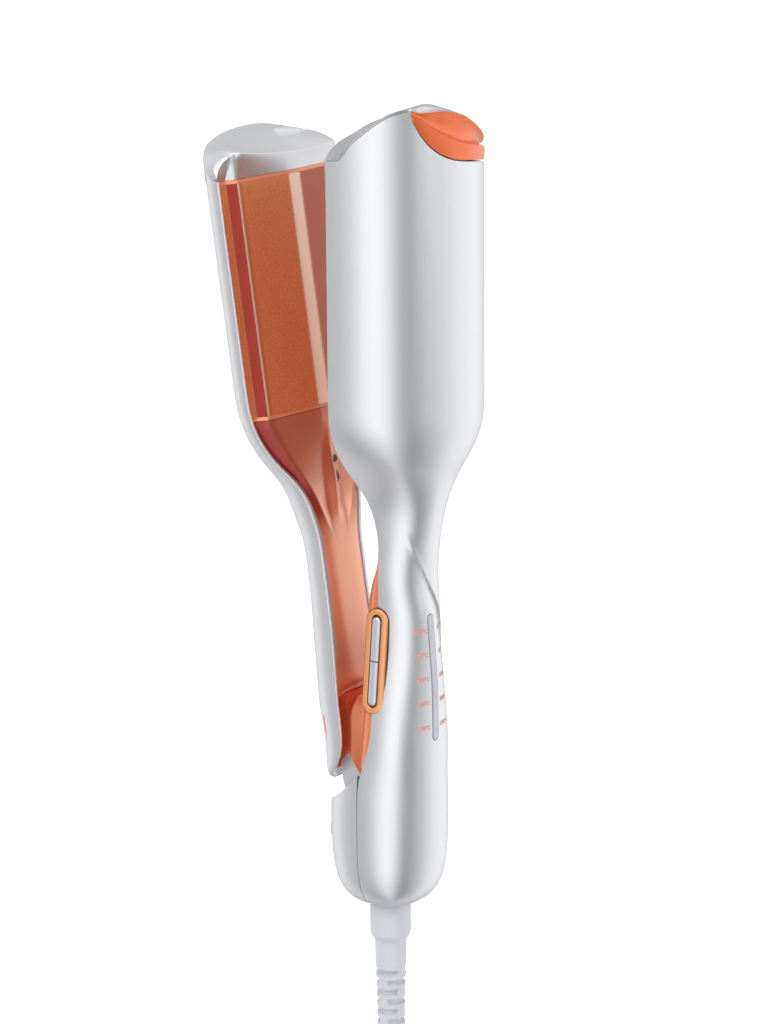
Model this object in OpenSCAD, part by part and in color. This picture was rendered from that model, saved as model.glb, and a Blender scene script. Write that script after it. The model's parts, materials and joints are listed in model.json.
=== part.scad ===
// Hair waver: a hinged two-arm styling iron with wave-shaped hair plates.
// Millimetres. Z runs up the handle, X points out of the main arm (away from
// the lever) and Y lies along the hinge pin. The origin is the middle of the
// hand grip. Sizes below are heights above the base of the handle; from_base()
// moves them to the origin. The lever is drawn closed and swung open about its
// pivot by in_lever().

/* [Handle] */
// Middle of the hand grip above the base
grip_height = 60; // [50:1:75]
// Thickness of the moulded shells
wall = 1.6; // [1.2:0.1:2.2]
// Fitting gap between parts that do not move
gap = 0.1; // [0.05:0.05:0.2]
// Half width of the handle's lower housing
housing_half = 19; // [17.5:0.5:22]
// Depth of the housing in front of its seam
housing_front = 20.3; // [19:0.1:23]

/* [Heads] */
// Width of both heads across the hair plates
head_width = 65; // [60:1:72]
// Depth of the main head behind its plate plane
head_depth = 32; // [28:1:36]
// Height of the lower end of the hair plates
plate_start = 177.4; // [175:0.2:190]
// Length of the hair plates
plate_length = 83.4; // [70:0.2:100]
// Rise of the main head's high corner above the plates
crest_rise = 26.7; // [24:0.1:30]
// Sheet thickness of the hair plates
plate_wall = 1.8; // [1.4:0.1:2]

/* [Lever] */
// How far the lever stands open at rest, in degrees
open_angle = 8.6; // [7:0.1:9]
// Pivot height above the base
pivot_height = 28; // [27:0.5:29]
// Distance of the pivot behind the handle axis
pivot_back = 3; // [2.5:0.1:3.5]
// Radius of the hinge pin
pin_radius = 2; // [1.5:0.1:2.5]
// Radial clearance of the pin in its bores
pin_clearance = 0.05; // [0.02:0.01:0.08]
// Half width of the hinge barrel
barrel_half = 8.5; // [8:0.1:8.8]

/* [Controls] */
// Width of the button bezel
bezel_width = 9; // [8:0.5:10]
// Length of the button bezel
bezel_length = 39.4; // [36:0.2:42]
// Width of the temperature buttons
button_width = 3.8; // [3.4:0.1:4.2]
// Press travel of the buttons
button_travel = 0.8; // [0.5:0.1:1]
// Clearance around a moving button or slider
slide_clearance = 0.3; // [0.25:0.05:0.4]
// Length of the light bar
light_length = 46.5; // [40:0.5:50]
// Width of the light bar
light_width = 3; // [2.5:0.1:3.5]
// Travel of the lock slider
lock_travel = 5; // [4:0.5:6]

/* [Cord] */
// Diameter of the mains cord
cord_diameter = 6.5; // [6:0.1:7]
// Length of the straight runs in the tied cord
hank_run = 70; // [60:1:80]
// Top of the tied cord below the base
hank_drop = 85; // [80:1:95]

/* [Hidden] */
steps = 20;             // segments round half a section
soft = 2.35;            // section roundness: 2 is an ellipse, more is boxier
half_head = head_width / 2;
plate_end = plate_start + plate_length;
plate_half = half_head - wall - 2 * gap;
bulge_back = 12.6;      // plate plane of the lever behind the axis
lever_depth = 14.4;     // depth of the lever behind its plate plane
bezel_tilt = 7.3;       // lean of the bezel, following the taper of the grip
bezel_middle = [5.5, -13.5, 90.5];
button_length = 16;
button_gap = 0.5;
light_middle = 85.2;
main_crest = [plate_end + crest_rise, -19, 18.5, 2.6, 22, 1.25];
lever_crest = [plate_end + crest_rise - 10.3, 4, 15, 2.2, 11, 2.6];
loop_inner = 3 * cord_diameter;
loop_outer = loop_inner + 1.03 * cord_diameter;
hank_half = loop_outer + cord_diameter / 2;
hank_thick = 3.08 * cord_diameter;

silver = "#c9cbce";
copper = "#c8683f";
orange = "#e87f46";
grey = "#8d8f92";
dark = "#3a3a3c";
steel = "#b8bbbf";

// ---------------------------------------------------------------- placing

module from_base() translate([0, 0, -grip_height]) children();

module in_lever()
    from_base()
    translate([-pivot_back, 0, pivot_height]) rotate([0, -open_angle, 0])
    translate([pivot_back, 0, -pivot_height]) children();

// Local Z points out of the bezel, local Y up along it.
module at_bezel()
    from_base() translate(bezel_middle) rotate([90 - bezel_tilt, 0, 0]) children();

// A prism along Y from a polygon drawn in X and Z.
module along_y(half) translate([0, half, 0]) rotate([90, 0, 0])
    linear_extrude(height = 2 * half) children();

// ------------------------------------------------------- section and skins

// Half a rounded section. It starts and ends on the rim plane and bulges to
// the given side by the given depth.
function half_ring(w, rim, depth, side, power) =
    [for (i = [0:steps]) let (a = -90 + 180 * i / steps)
        [rim + side * depth * pow(max(cos(a), 0), 2 / power),
         w * sign(a) * pow(abs(sin(a)), 2 / power)]];

function lift(ring, z) = [for (p = ring) [p[0], p[1], z]];

// Height of a head's outer edge over its width.
// crest: top height, place of the top, then drop and power on either side.
function edge_height(c, y) =
    y < c[1] ? c[0] - c[2] * pow((c[1] - y) / (half_head + c[1]), c[3])
             : c[0] - c[4] * pow((y - c[1]) / (half_head - c[1]), c[5]);

// A moulded skin through rows of [height, half width, rim, depth]. When tops is
// given, the last row follows those heights instead of its own.
module skin(rows, side, thick, power = soft, tops = undef) {
    n = steps + 1;
    last = len(rows) - 1;
    function row_points(k, t) =
        let (r = rows[k], ring = half_ring(r[1] - t, r[2], r[3] - t, side, power))
        [for (i = [0:steps]) [ring[i][0], ring[i][1],
            k == last && tops != undef ? tops[i] : r[0]]];
    points = [for (k = [0:last]) each concat(row_points(k, 0), row_points(k, thick))];
    function o(k, i) = k * 2 * n + i;
    function q(k, i) = o(k, i) + n;
    sides = [for (k = [0:last - 1], i = [0:steps - 1]) each [
        [o(k, i), o(k + 1, i), o(k + 1, i + 1)], [o(k, i), o(k + 1, i + 1), o(k, i + 1)],
        [q(k, i), q(k + 1, i + 1), q(k + 1, i)], [q(k, i), q(k, i + 1), q(k + 1, i + 1)]]];
    rims = [for (k = [0:last - 1]) each [
        [o(k, 0), q(k, 0), q(k + 1, 0)], [o(k, 0), q(k + 1, 0), o(k + 1, 0)],
        [o(k, steps), o(k + 1, steps), q(k + 1, steps)],
        [o(k, steps), q(k + 1, steps), q(k, steps)]]];
    ends = [for (i = [0:steps - 1]) each [
        [o(0, i), o(0, i + 1), q(0, i + 1)], [o(0, i), q(0, i + 1), q(0, i)],
        [o(last, i), q(last, i), q(last, i + 1)],
        [o(last, i), q(last, i + 1), o(last, i + 1)]]];
    faces = concat(sides, rims, ends);
    polyhedron(points, side > 0 ? faces : [for (f = faces) [f[2], f[1], f[0]]]);
}

// A domed cap: closed rings, the last one drawn in to a single point, hollow
// below. rings holds outer rings from the bottom up, all of the same length.
module dome(rings, peak, thick) {
    n = len(rings[0]);
    last = len(rings) - 1;
    function inward(p, c, t) =
        let (d = [p[0] - c[0], p[1] - c[1]], l = max(norm(d), 0.001))
        [p[0] - d[0] / l * t, p[1] - d[1] / l * t];
    inner = [for (k = [0:last]) [for (p = rings[k])
        let (m = inward(p, peak, thick))
        [m[0], m[1], k == 0 ? p[2] : max(p[2] - thick, rings[0][0][2] + 0.4)]]];
    points = concat([for (r = rings) each r], [for (r = inner) each r],
                    [peak, [peak[0], peak[1], peak[2] - thick]]);
    count = n * (last + 1);
    function o(k, i) = k * n + i % n;
    function q(k, i) = count + k * n + i % n;
    walls = [for (k = [0:1:last - 1], i = [0:n - 1]) each [
        [o(k, i), o(k + 1, i), o(k + 1, i + 1)], [o(k, i), o(k + 1, i + 1), o(k, i + 1)],
        [q(k, i), q(k + 1, i + 1), q(k + 1, i)], [q(k, i), q(k, i + 1), q(k + 1, i + 1)]]];
    closing = [for (i = [0:n - 1]) each [
        [o(last, i), 2 * count, o(last, i + 1)],
        [q(last, i), q(last, i + 1), 2 * count + 1],
        [o(0, i), o(0, i + 1), q(0, i + 1)], [o(0, i), q(0, i + 1), q(0, i)]]];
    polyhedron(points, concat(walls, closing));
}

// A round tube through a list of points in the plane X = 0.
module tube(path, r, sides = 10) {
    last = len(path) - 1;
    function way(k) = let (a = path[max(k - 1, 0)], b = path[min(k + 1, last)]) (b - a) / norm(b - a);
    points = concat(
        [for (k = [0:last], j = [0:sides - 1])
            let (t = way(k), s = [0, -t[2], t[1]], a = 360 * j / sides)
            path[k] + r * cos(a) * [1, 0, 0] + r * sin(a) * s],
        [path[0], path[last]]);
    function v(k, j) = k * sides + j % sides;
    tail = sides * (last + 1);
    polyhedron(points, concat(
        [for (k = [0:last - 1], j = [0:sides - 1]) each [
            [v(k, j), v(k, j + 1), v(k + 1, j + 1)], [v(k, j), v(k + 1, j + 1), v(k + 1, j)]]],
        [for (j = [0:sides - 1]) each [
            [tail, v(0, j + 1), v(0, j)], [tail + 1, v(last, j), v(last, j + 1)]]]));
}

// A flat bar with round ends, long way along Y, standing on Z = 0.
module capsule(length, width, height) {
    straight = length - width;
    translate([-width / 2, -straight / 2, 0]) cube([width, straight, height]);
    for (s = [-1, 1]) translate([0, s * straight / 2, 0])
        cylinder(r = width / 2, h = height, $fn = 48);
}

// ------------------------------------------------------------ station rows

flare = plate_start - 177.4;   // shift of the neck flare with the plates

// Main arm: [height, half width, rim, depth beyond the rim]
base_rows = [
    [0, housing_half * 0.5, 0, housing_front * 0.468],
    [2, housing_half * 0.684, 0, housing_front * 0.64],
    [6, housing_half * 0.863, 0, housing_front * 0.818],
    [12, housing_half * 0.958, 0, housing_front * 0.901],
    [24, housing_half, 0, housing_front * 0.975],
    [36, housing_half, 0, housing_front * 0.995],
    [46, housing_half - 0.5, 0, housing_front]];
grip_rows = [
    [54, 17.9, 2.2, 18.2], [65, 16.7, 4.6, 15.9], [78, 14.9, 4.5, 15.9],
    [96, 12.2, 4.2, 15.8], [108, 11, 4, 16]];
neck_rows = [
    [120, 10.7, 4, 15.4], [132, 10.2, 3.9, 16.8], [138 + flare, 10.7, 3.5, 18],
    [144 + flare, 12, 2.8, 19.7], [150 + flare, 15, 2, 21.9],
    [156 + flare, 0.594 * half_head, 0.9, 24.7],
    [162 + flare, 0.738 * half_head, 0, 0.888 * head_depth],
    [168 + flare, 0.868 * half_head, 0, 0.956 * head_depth],
    [174 + flare, 0.954 * half_head, 0, head_depth],
    [180 + flare, half_head, 0, head_depth]];
head_rows = [
    [plate_end - 20, half_head, 0, head_depth], [plate_end, half_head, 0, head_depth]];
arm_rows = concat(base_rows, grip_rows, neck_rows, head_rows);

// Lever: the same, in its closed place
lever_rows = [
    [46, 2.4, -5.5, 2.2], [48, 6, -5.5, 5], [52, 10, -5.5, 8], [58, 13.2, -5.5, 11.5],
    [64, 14.2, -5.5, 13.5], [70, 14.3, -5.5, 14.4], [82, 13.5, -5.5, 14.2],
    [94, 12.6, -5.5, 13.9], [106, 12.1, -5.5, 13.1], [118, 12, -5.5, 12.5],
    [130, 12, -5.5, 12.6], [136 + flare, 12.9, -5.5, 13.5], [142 + flare, 14.4, -5.6, 14.6],
    [148 + flare, 15.8, -6.4, 14.6], [154 + flare, 0.572 * half_head, -8, 14.3],
    [160 + flare, 0.705 * half_head, -10.2, 13.9], [166 + flare, 0.815 * half_head, -11.9, 13.6],
    [172 + flare, 0.908 * half_head, -bulge_back, 13.4],
    [178 + flare, 0.978 * half_head, -bulge_back, 13.8],
    [184 + flare, half_head, -bulge_back, lever_depth],
    [plate_end - 20, half_head, -bulge_back, lever_depth],
    [plate_end, half_head, -bulge_back, lever_depth]];

// Covers sit inside the shells' rims: rows of [shell row, rim, face]
inset = wall + gap;
main_cover_rows = [for (r = [
        [52, 16.2, 2.8, -4.3], [65, 15, 5.2, -4.3], [78, 13.2, 5.1, -4.3],
        [96, 10.5, 4.8, -3.8], [108, 9.3, 4.6, -3.2], [113, 9.1, 4.6, -1],
        [118, 9, 4.6, 1], [132, 8.5, 4.5, 1], [138 + flare, 9, 4.1, 0.8],
        [144 + flare, 10.3, 3.4, 0], [150 + flare, 13.3, 2.6, -1],
        [156 + flare, 0.594 * half_head - inset, 1.5, -2],
        [162 + flare, 0.738 * half_head - inset, 0.6, -3],
        [168 + flare, 0.868 * half_head - inset, 0.6, -3.5],
        [plate_start - 0.4, 0.954 * half_head - inset, 0.6, -4]])
    [r[0], r[1] + 1.6 - wall, r[2], r[2] - r[3]]];
lever_cover_rows = [for (r = [
        [61, 12, -6.1, -4.7], [70, 12.6, -6.1, -4.7], [82, 11.8, -6.1, -4.7],
        [94, 10.9, -6.1, -4.7], [118, 10.3, -6.1, -4.7], [130, 10.3, -6.1, -4.7],
        [136 + flare, 11.2, -6.1, -4.7], [142 + flare, 12.7, -6.2, -4.8],
        [148 + flare, 14.1, -7, -4.8],
        [154 + flare, 0.572 * half_head - inset, -8.6, -4.8],
        [160 + flare, 0.705 * half_head - inset, -10.8, -4.8],
        [166 + flare, 0.815 * half_head - inset, -12.5, -4.8],
        [172 + flare, 0.908 * half_head - inset, -13.2, -4.8],
        [plate_start - 0.4, 0.97 * half_head - inset, -13.2, -4.8]])
    [r[0], r[1] + 1.6 - wall, r[2], r[3] - r[2]]];

// ------------------------------------------------------------ outer shells

// The orange corner grips start at these places over the head's width; the
// shells step down under them.
function main_grip_low(y) =
    let (top = edge_height(main_crest, y) - 2 * gap, t = (y + 20.5) / (half_head + 20.5))
    y < -20.4 ? top : max(top - 19 * pow(t, 0.45), plate_end + 2.6 + 11 * pow(1 - t, 3));
function lever_grip_low(y) =
    let (top = edge_height(lever_crest, y) - 2 * gap, t = (y + half_head) / 12)
    t > 1 ? top : min(top, plate_end + 1 + 13 * pow(max(t, 0), 2));

module main_shell() color(silver) difference() {
    from_base() skin(arm_rows, 1, wall,
        tops = [for (p = half_ring(half_head, 0, head_depth, 1, soft)) main_grip_low(p[1])]);
    bezel_opening();
    from_base() translate([housing_front, 0, light_middle]) rotate([90, 0, 90])
        translate([0, 0, -8]) capsule(light_length + 2 * gap, light_width + 2 * gap, 16);
}

module bezel_opening()
    at_bezel() translate([0, 0, -5]) capsule(bezel_length + 2 * gap, bezel_width + 2 * gap, 12);

// The housing's rear half ends in a saddle round the lever's root.
module back_shell() color(silver) difference() {
    rows = [for (k = [0:5]) base_rows[k]];
    from_base() skin(rows, -1, wall,
        tops = [for (p = half_ring(housing_half, 0, housing_front, -1, soft))
            let (d = p[0] + housing_front) 35.6 + 0.6 * d + 0.005 * d * d]);
    from_base() translate([-housing_front - 2, -2.1 - slide_clearance, 20.5])
        cube([6, 4.2 + 2 * slide_clearance, lock_travel + 5]);
}

module main_inner_cover() color(copper) difference() {
    from_base() skin(main_cover_rows, -1, 1.2, power = 3);
    bezel_opening();
}

module main_tip_grip() color(orange) from_base()
    grip_strip(half_ring(half_head, 0, head_depth, 1, soft),
               half_ring(half_head - wall, 0, head_depth - wall, 1, soft), 6, steps, 1);

// A strip of the main head's skin between the step in the shell and its edge.
module grip_strip(outer, inner, first, final, side) {
    n = final - first + 1;
    function low(i) = side > 0 ? main_grip_low(outer[i][1]) : lever_grip_low(outer[i][1]);
    function high(i) = edge_height(side > 0 ? main_crest : lever_crest, outer[i][1]);
    points = [for (i = [first:final]) each [
        [outer[i][0], outer[i][1], low(i) + gap], [outer[i][0], outer[i][1], high(i)],
        [inner[i][0], inner[i][1], low(i) + gap], [inner[i][0], inner[i][1], high(i)]]];
    faces = concat(
        [for (k = [0:n - 2]) let (a = 4 * k, b = 4 * k + 4) each [
            [a, a + 1, b + 1], [a, b + 1, b], [a + 2, b + 3, a + 3], [a + 2, b + 2, b + 3],
            [a + 1, a + 3, b + 3], [a + 1, b + 3, b + 1], [a, b, b + 2], [a, b + 2, a + 2]]],
        [[0, 2, 3], [0, 3, 1], [4 * n - 4, 4 * n - 3, 4 * n - 1], [4 * n - 4, 4 * n - 1, 4 * n - 2]]);
    polyhedron(points, side > 0 ? faces : [for (f = faces) [f[2], f[1], f[0]]]);
}

module lever_shell() color(silver) in_lever() difference() {
    skin(lever_rows, -1, wall,
        tops = [for (p = half_ring(half_head, -bulge_back, lever_depth, -1, soft))
            lever_grip_low(p[1])]);
    translate([-13 - gap, -7 - gap, 40]) cube([9, 14 + 2 * gap, 21]);
}

module lever_inner_cover() color(copper) in_lever() skin(lever_cover_rows, 1, 1.2, power = 4);

module lever_tip_grip() color(orange) in_lever()
    grip_strip(half_ring(half_head, -bulge_back, lever_depth, -1, soft),
               half_ring(half_head - wall, -bulge_back, lever_depth - wall, -1, soft),
               0, 6, -1);

// ---------------------------------------------------------------- end caps

// Closed outline of a cap: the shell side and a flatter front side.
function cap_ring(rim, side, back, front, power) =
    concat(half_ring(half_head - inset, rim, back, side, soft),
        [for (i = [steps - 1:-1:1]) half_ring(half_head - inset, rim, front, -side, power)[i]]);

// Rings drawn in towards the peak, rising from the edge heights.
function cap_rings(ring, edges, peak, floor_z) = concat(
    [lift(ring, floor_z)],
    [for (k = [1, 0.8, 0.55, 0.3]) [for (i = [0:len(ring) - 1])
        [peak[0] + k * (ring[i][0] - peak[0]), peak[1] + k * (ring[i][1] - peak[1]),
         peak[2] + pow(k, 2.2) * (edges[i] - peak[2])]]]);

module main_end_cap() color(silver) from_base() {
    ring = cap_ring(0, 1, head_depth - inset, 2.7, 2.4);
    edges = [for (i = [0:len(ring) - 1]) i <= steps ? edge_height(main_crest, ring[i][1]) - 0.4
        : main_crest[0] - 10 - 10 * pow(abs(ring[i][1]) / half_head, 2.5)];
    dome(cap_rings(ring, edges, [14, 0, main_crest[0] - 3], plate_end + gap), [14, 0, main_crest[0] - 3], wall);
}

module lever_end_cap() color(silver) in_lever() {
    ring = cap_ring(-bulge_back, -1, lever_depth - inset, 6.8, 4);
    edges = [for (i = [0:len(ring) - 1]) i <= steps ? edge_height(lever_crest, ring[i][1]) - 0.4
        : plate_end + 8 - 6 * pow(abs(ring[i][1]) / half_head, 4)];
    peak = [-bulge_back - 4, 2, lever_crest[0] - 3.4];
    flipped = [for (i = [len(ring) - 1:-1:0]) ring[i]];
    dome(cap_rings(flipped, [for (i = [len(ring) - 1:-1:0]) edges[i]], peak, plate_end + gap), peak, wall);
}

// ------------------------------------------------------------- hair plates

// Outlines over the width: main plate a W-shaped trough, lever plate a roof.
main_outline = [[0, plate_half], [-0.3, 27], [-6, 24], [-3.3, 2.7],
                [-3.3, -2.7], [-6, -24], [-0.3, -27], [0, -plate_half]];
main_back = [[1.5, -plate_half], [1.5, -25.6], [-4.2, -22.8], [-1.5, -2.4],
             [-1.5, 2.4], [-4.2, 22.8], [1.5, 25.6], [1.5, plate_half]];
lever_outline = [[0, plate_half], [0.5, 28.4], [4.6, 27], [7.8, 2.7],
                 [7.8, -2.7], [4.6, -27], [0.5, -28.4], [0, -plate_half]];
lever_back = [[-1.3, -plate_half], [-1.3, -26.8], [2.9, -25.4], [6, -2.4],
              [6, 2.4], [2.9, 25.4], [-1.3, 26.8], [-1.3, plate_half]];

module plate_prism(front, back) translate([0, 0, plate_start])
    linear_extrude(height = plate_length)
    polygon(concat(front, [for (p = back) [p[0] + plate_wall - 1.8, p[1]]]));

module main_plate() color(copper) from_base() plate_prism(main_outline, main_back);

module lever_plate() color(copper) in_lever()
    translate([-bulge_back, 0, 0]) plate_prism(lever_outline, lever_back);

// A screwed carrier behind each plate; side points away from the hair and boss
// is the height of its screw bosses.
module carrier(side, x, outer_half, boss) {
    window = [22, plate_length - 18];
    difference() {
        union() {
            translate([side > 0 ? x : x - 2.4, -outer_half, plate_start + 2])
                cube([2.4, 2 * outer_half, plate_length - 4]);
            carrier_screws() translate([x, 0, 0]) rotate([0, side * 90, 0])
                cylinder(r = 3, h = boss, $fn = 32);
        }
        translate([x - 5, -window[0], plate_start + 9]) cube([10, 2 * window[0], window[1]]);
        carrier_screws() translate([x, 0, 0]) rotate([0, side * 90, 0])
            translate([0, 0, -1]) cylinder(r = 1.25, h = boss + 2, $fn = 32);
    }
}

module carrier_screws()
    for (y = [-25, 25], z = [plate_start + 14, plate_end - 14]) translate([0, y, z]) children();

// Pan-head screws through the carrier bosses.
module screws(side, x, boss) carrier_screws() translate([x, 0, 0]) rotate([0, side * 90, 0]) {
    translate([0, 0, 0.8]) cylinder(r = 1.2, h = boss - 0.8, $fn = 32);
    translate([0, 0, boss]) cylinder(r = 2.3, h = 1.6, $fn = 32);
}

// Two heating bars on a spreader sheet, standing from x towards the plate.
module heater(side, x, depth) for (b = [[-20.5, 41, 0.8], [-20.5, 14.5, depth], [6, 14.5, depth]])
    translate([side > 0 ? x - b[2] : x, b[0], plate_start + 11])
        cube([b[2], b[1], plate_length - 22]);

main_front = plate_wall - 0.2;
lever_front = -bulge_back - 1.4 - plate_wall + 1.8;
main_boss = 6;
lever_boss = 3.5;
module main_plate_frame() color(dark) from_base()
    carrier(1, main_front, plate_half - 0.4, main_boss);
module lever_plate_frame() color(dark) in_lever()
    carrier(-1, lever_front, plate_half - 1.5, lever_boss);
module main_screws() color(steel) from_base() screws(1, main_front, main_boss);
module lever_screws() color(steel) in_lever() screws(-1, lever_front, lever_boss);
module main_heater() color(steel) from_base() heater(1, main_front - 1, 2.4);
module lever_heater() color(steel) in_lever() heater(-1, lever_front + 1, 3.2);

// A mica sheet that laps over the carrier's window.
module insulator(x) translate([x, -23.5, plate_start + 7.5])
    difference() {
        cube([0.8, 47, plate_length - 15]);
        for (z = [15, plate_length - 30]) translate([-1, 23.5, z])
            rotate([0, 90, 0]) cylinder(r = 2.5, h = 3, $fn = 32);
    }

module main_insulator() color("#d8cfb4") from_base() insulator(main_front - 0.9);
module lever_insulator() color("#d8cfb4") in_lever() insulator(lever_front + 0.1);

module thermal_fuse() color(steel) from_base() translate([main_front + 1.9, 0, plate_start + 34]) {
    cylinder(r = 1.8, h = 11, $fn = 32);
    for (z = [-5, 11]) translate([0, 0, z]) cylinder(r = 0.5, h = 5, $fn = 16);
}

// ---------------------------------------------------------------- controls

module button_bezel() color(orange) at_bezel() difference() {
    translate([0, 0, -2.2]) capsule(bezel_length, bezel_width, 2.8);
    translate([0, 0, -3]) capsule(2 * button_length + button_gap + 2 * slide_clearance,
        button_width + 2 * slide_clearance, 5);
}

// One bar button, round at its outer end. way is 1 for up and -1 for down.
module button(way) at_bezel() translate([0, 0, -1.4]) {
    r = button_width / 2;
    translate([-r, way > 0 ? button_gap / 2 : r - button_length - button_gap / 2, 0])
        cube([button_width, button_length - r, 2.3]);
    translate([0, way * (button_length + button_gap / 2 - r), 0])
        cylinder(r = r, h = 2.3, $fn = 48);
}

module button_up() color(steel) button(1);
module button_down() color(steel) button(-1);

board_depth = 6.6;
module control_board() color("#2f6b46") at_bezel()
    translate([-5, -21, -board_depth]) cube([13.2, 42, 1.6]);

module tact_switches() color(dark) at_bezel() for (y = [-8.2, 8.2])
    translate([0, y, 1.6 - board_depth]) {
        translate([-2.5, -2.5, 0]) cube([5, 5, 1.6]);
        cylinder(r = 1, h = 2.2, $fn = 24);
    }

lens_depth = 2.5;
module at_light(depth) from_base() translate([housing_front - depth, 0, light_middle])
    rotate([90, 0, 90]) children();

module light_lens() color("#f2ede8") at_light(lens_depth) {
    capsule(light_length, light_width, lens_depth);
    translate([0, 0, -0.8]) capsule(light_length + 2, light_width + 2, 0.8);
}

module led_strip() color("#dfe6dd") at_light(lens_depth + 2.7) {
    translate([-2.5, -light_length / 2, 0]) cube([5, light_length, 0.8]);
    for (k = [-2:2]) translate([-1, k * 9.3 - 1, 0.8]) cube([2, 2, 0.9]);
}

module lock_slider() color(silver) from_base() {
    back = -housing_front - slide_clearance;
    translate([back - 1.8, -6, 19]) cube([1.8, 12, 8]);
    for (z = [20.5, 22.5, 24.5]) translate([back - 2.3, -5, z]) cube([0.5, 10, 1]);
    translate([back, -2.1, 21]) cube([5, 4.2, 4]);
    translate([back + 3.4, -4, 21]) cube([2, 8, 4]);
}

// ------------------------------------------------------------------- hinge

cheek_gap = barrel_half + 0.4;
cheek_out = housing_half - 5.3;
bore = pin_radius + pin_clearance;

module hinge_block() color(grey) from_base() difference() {
    union() {
        for (s = [-1, 1]) translate([-9, s > 0 ? cheek_gap : -cheek_out, 12])
            cube([15, cheek_out - cheek_gap, 26]);
        translate([-9, -cheek_out, 11]) cube([15, 2 * cheek_out, 3]);
        translate([5, -cheek_out, 11]) cube([4, 2 * cheek_out, 26]);
    }
    pin_hole(cheek_out + 2);
}

module pin_hole(half) translate([-pivot_back, 0, pivot_height]) rotate([90, 0, 0])
    translate([0, 0, -half]) cylinder(r = bore, h = 2 * half, $fn = 48);

module hinge_pin() color(steel) from_base() translate([-pivot_back, 0, pivot_height])
    rotate([90, 0, 0]) {
        translate([0, 0, -cheek_out - 1]) cylinder(r = pin_radius, h = 2 * cheek_out + 2, $fn = 48);
        for (z = [-cheek_out - 1.2, cheek_out + 0.2])
            translate([0, 0, z]) cylinder(r = pin_radius + 1.2, h = 1, $fn = 48);
    }

// Torsion spring round the pin, its leg on the block's front wall.
module hinge_spring() color(steel) from_base() translate([-pivot_back, 0, pivot_height])
    rotate([90, 0, 0]) {
        for (k = [-2:2]) translate([0, 0, k * 1.15])
            rotate_extrude($fn = 48) translate([3.4, 0]) circle(r = 0.55, $fn = 26);
        translate([3.4, 0, 2.3]) rotate([0, 90, 0]) cylinder(r = 0.42, h = 4, $fn = 32);
        translate([3.4, 0, -2.3]) rotate([0, 90, 0]) cylinder(r = 0.42, h = 4, $fn = 32);
    }

// The lever's tongue: a stem inside the lever shell that runs down to the
// barrel on the pin. The barrel's middle is pocketed for the spring.
module lever_tongue() color(grey) in_lever() difference() {
    union() {
        along_y(7) translate([-pivot_back, pivot_height])
            polygon([[-10, 48], [-3.5, 48], [-3.5, 23], [6.6, 4.5], [0, 0], [-7.6, 2.5],
                     [-10, 16]]);
        translate([-pivot_back, 0, pivot_height]) rotate([90, 0, 0])
            translate([0, 0, -barrel_half]) cylinder(r = 8, h = 2 * barrel_half, $fn = 64);
    }
    pin_hole(barrel_half + 2);
    translate([-pivot_back, 0, pivot_height]) {
        rotate([90, 0, 0]) translate([0, 0, -3.2]) cylinder(r = 4.8, h = 6.4, $fn = 48);
        translate([0, -3.2, -4.8]) cube([9, 6.4, 9.6]);
    }
}

// -------------------------------------------------------------------- cord

module swivel_socket() color(grey) from_base() rotate_extrude($fn = 64)
    polygon([[5.4, 2.4], [10.2, 2.4], [10.8, 4.4], [10.8, 10], [5.4, 10], [5.4, 7.6],
             [8.3, 7.6], [8.3, 4.5], [5.4, 4.5]]);

guard_end = 58;
module strain_relief() color(silver) from_base() {
    rotate_extrude($fn = 64) polygon([[0, 7.2], [7.9, 7.2], [7.9, 4.9], [5, 4.9], [5, 1],
        [7.1, -1], [7.3, -2.5], [7.3, -12], [5.8, -15.5], [5.6, -24], [4.4, -24.6],
        [4.1, -guard_end], [0, -guard_end]]);
    for (k = [0:7]) translate([0, 0, -28.4 - 3.7 * k]) rotate_extrude($fn = 48)
        polygon([[3.9, 0], [5.6 - 0.05 * k, 0.3], [5.6 - 0.05 * k, 2.1], [3.9, 2.4]]);
}

module cord() color(silver) from_base() tube([[0, 0, -guard_end - gap], [0, 0, -64],
    [0, -0.6, -70], [0, -2.2, -76], [0, -5.4, -hank_drop + 1.7]], cord_diameter / 2);

// Tied cord: straight runs between round end loops.
module cord_hank() color(silver) from_base()
    translate([-hank_thick / 2, 0, -hank_drop - hank_half - hank_run / 2]) rotate([90, 0, 90])
    difference() {
        capsule(hank_run + 2 * hank_half, 2 * hank_half, hank_thick);
        translate([0, 0, -1]) capsule(hank_run + 2 * hank_hole, 2 * hank_hole, hank_thick + 2);
    }
hank_hole = loop_inner - cord_diameter / 2;

module cord_tail() color(silver) from_base() tube([for (p = [[-12.4, 26], [-11.7, 31],
    [-9, 37], [-5, 43], [-1.8, 49], [-0.2, 54], [0, 58]]) [0, p[0], -hank_drop - p[1]]],
    cord_diameter / 2);

plug_top = -hank_drop - 58 - gap;
module plug_body() color(silver) from_base() translate([0, 0, plug_top]) {
    translate([0, 0, -12]) cylinder(r = 4.6, h = 12, $fn = 48);
    difference() {
        translate([-9, -11.5, -36]) cube([18, 23, 24]);
        for (y = [-6.35, 6.35]) translate([-1.6, y - 4, -40]) cube([3.2, 8, 12]);
    }
}

module plug_pins() color(steel) from_base() for (y = [-6.35, 6.35])
    translate([-0.75, y - 3.15, plug_top - 50]) cube([1.5, 6.3, 22]);

module cord_tie() color(dark) from_base() translate([0, 0, -hank_drop - hank_half - hank_run / 2])
    difference() {
        cube([hank_thick + 4, 2 * hank_half + 4, 9], center = true);
        cube([hank_thick + 0.4, 2 * hank_half + 0.4, 12], center = true);
    }

// ------------------------------------------------------------------- nodes

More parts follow.
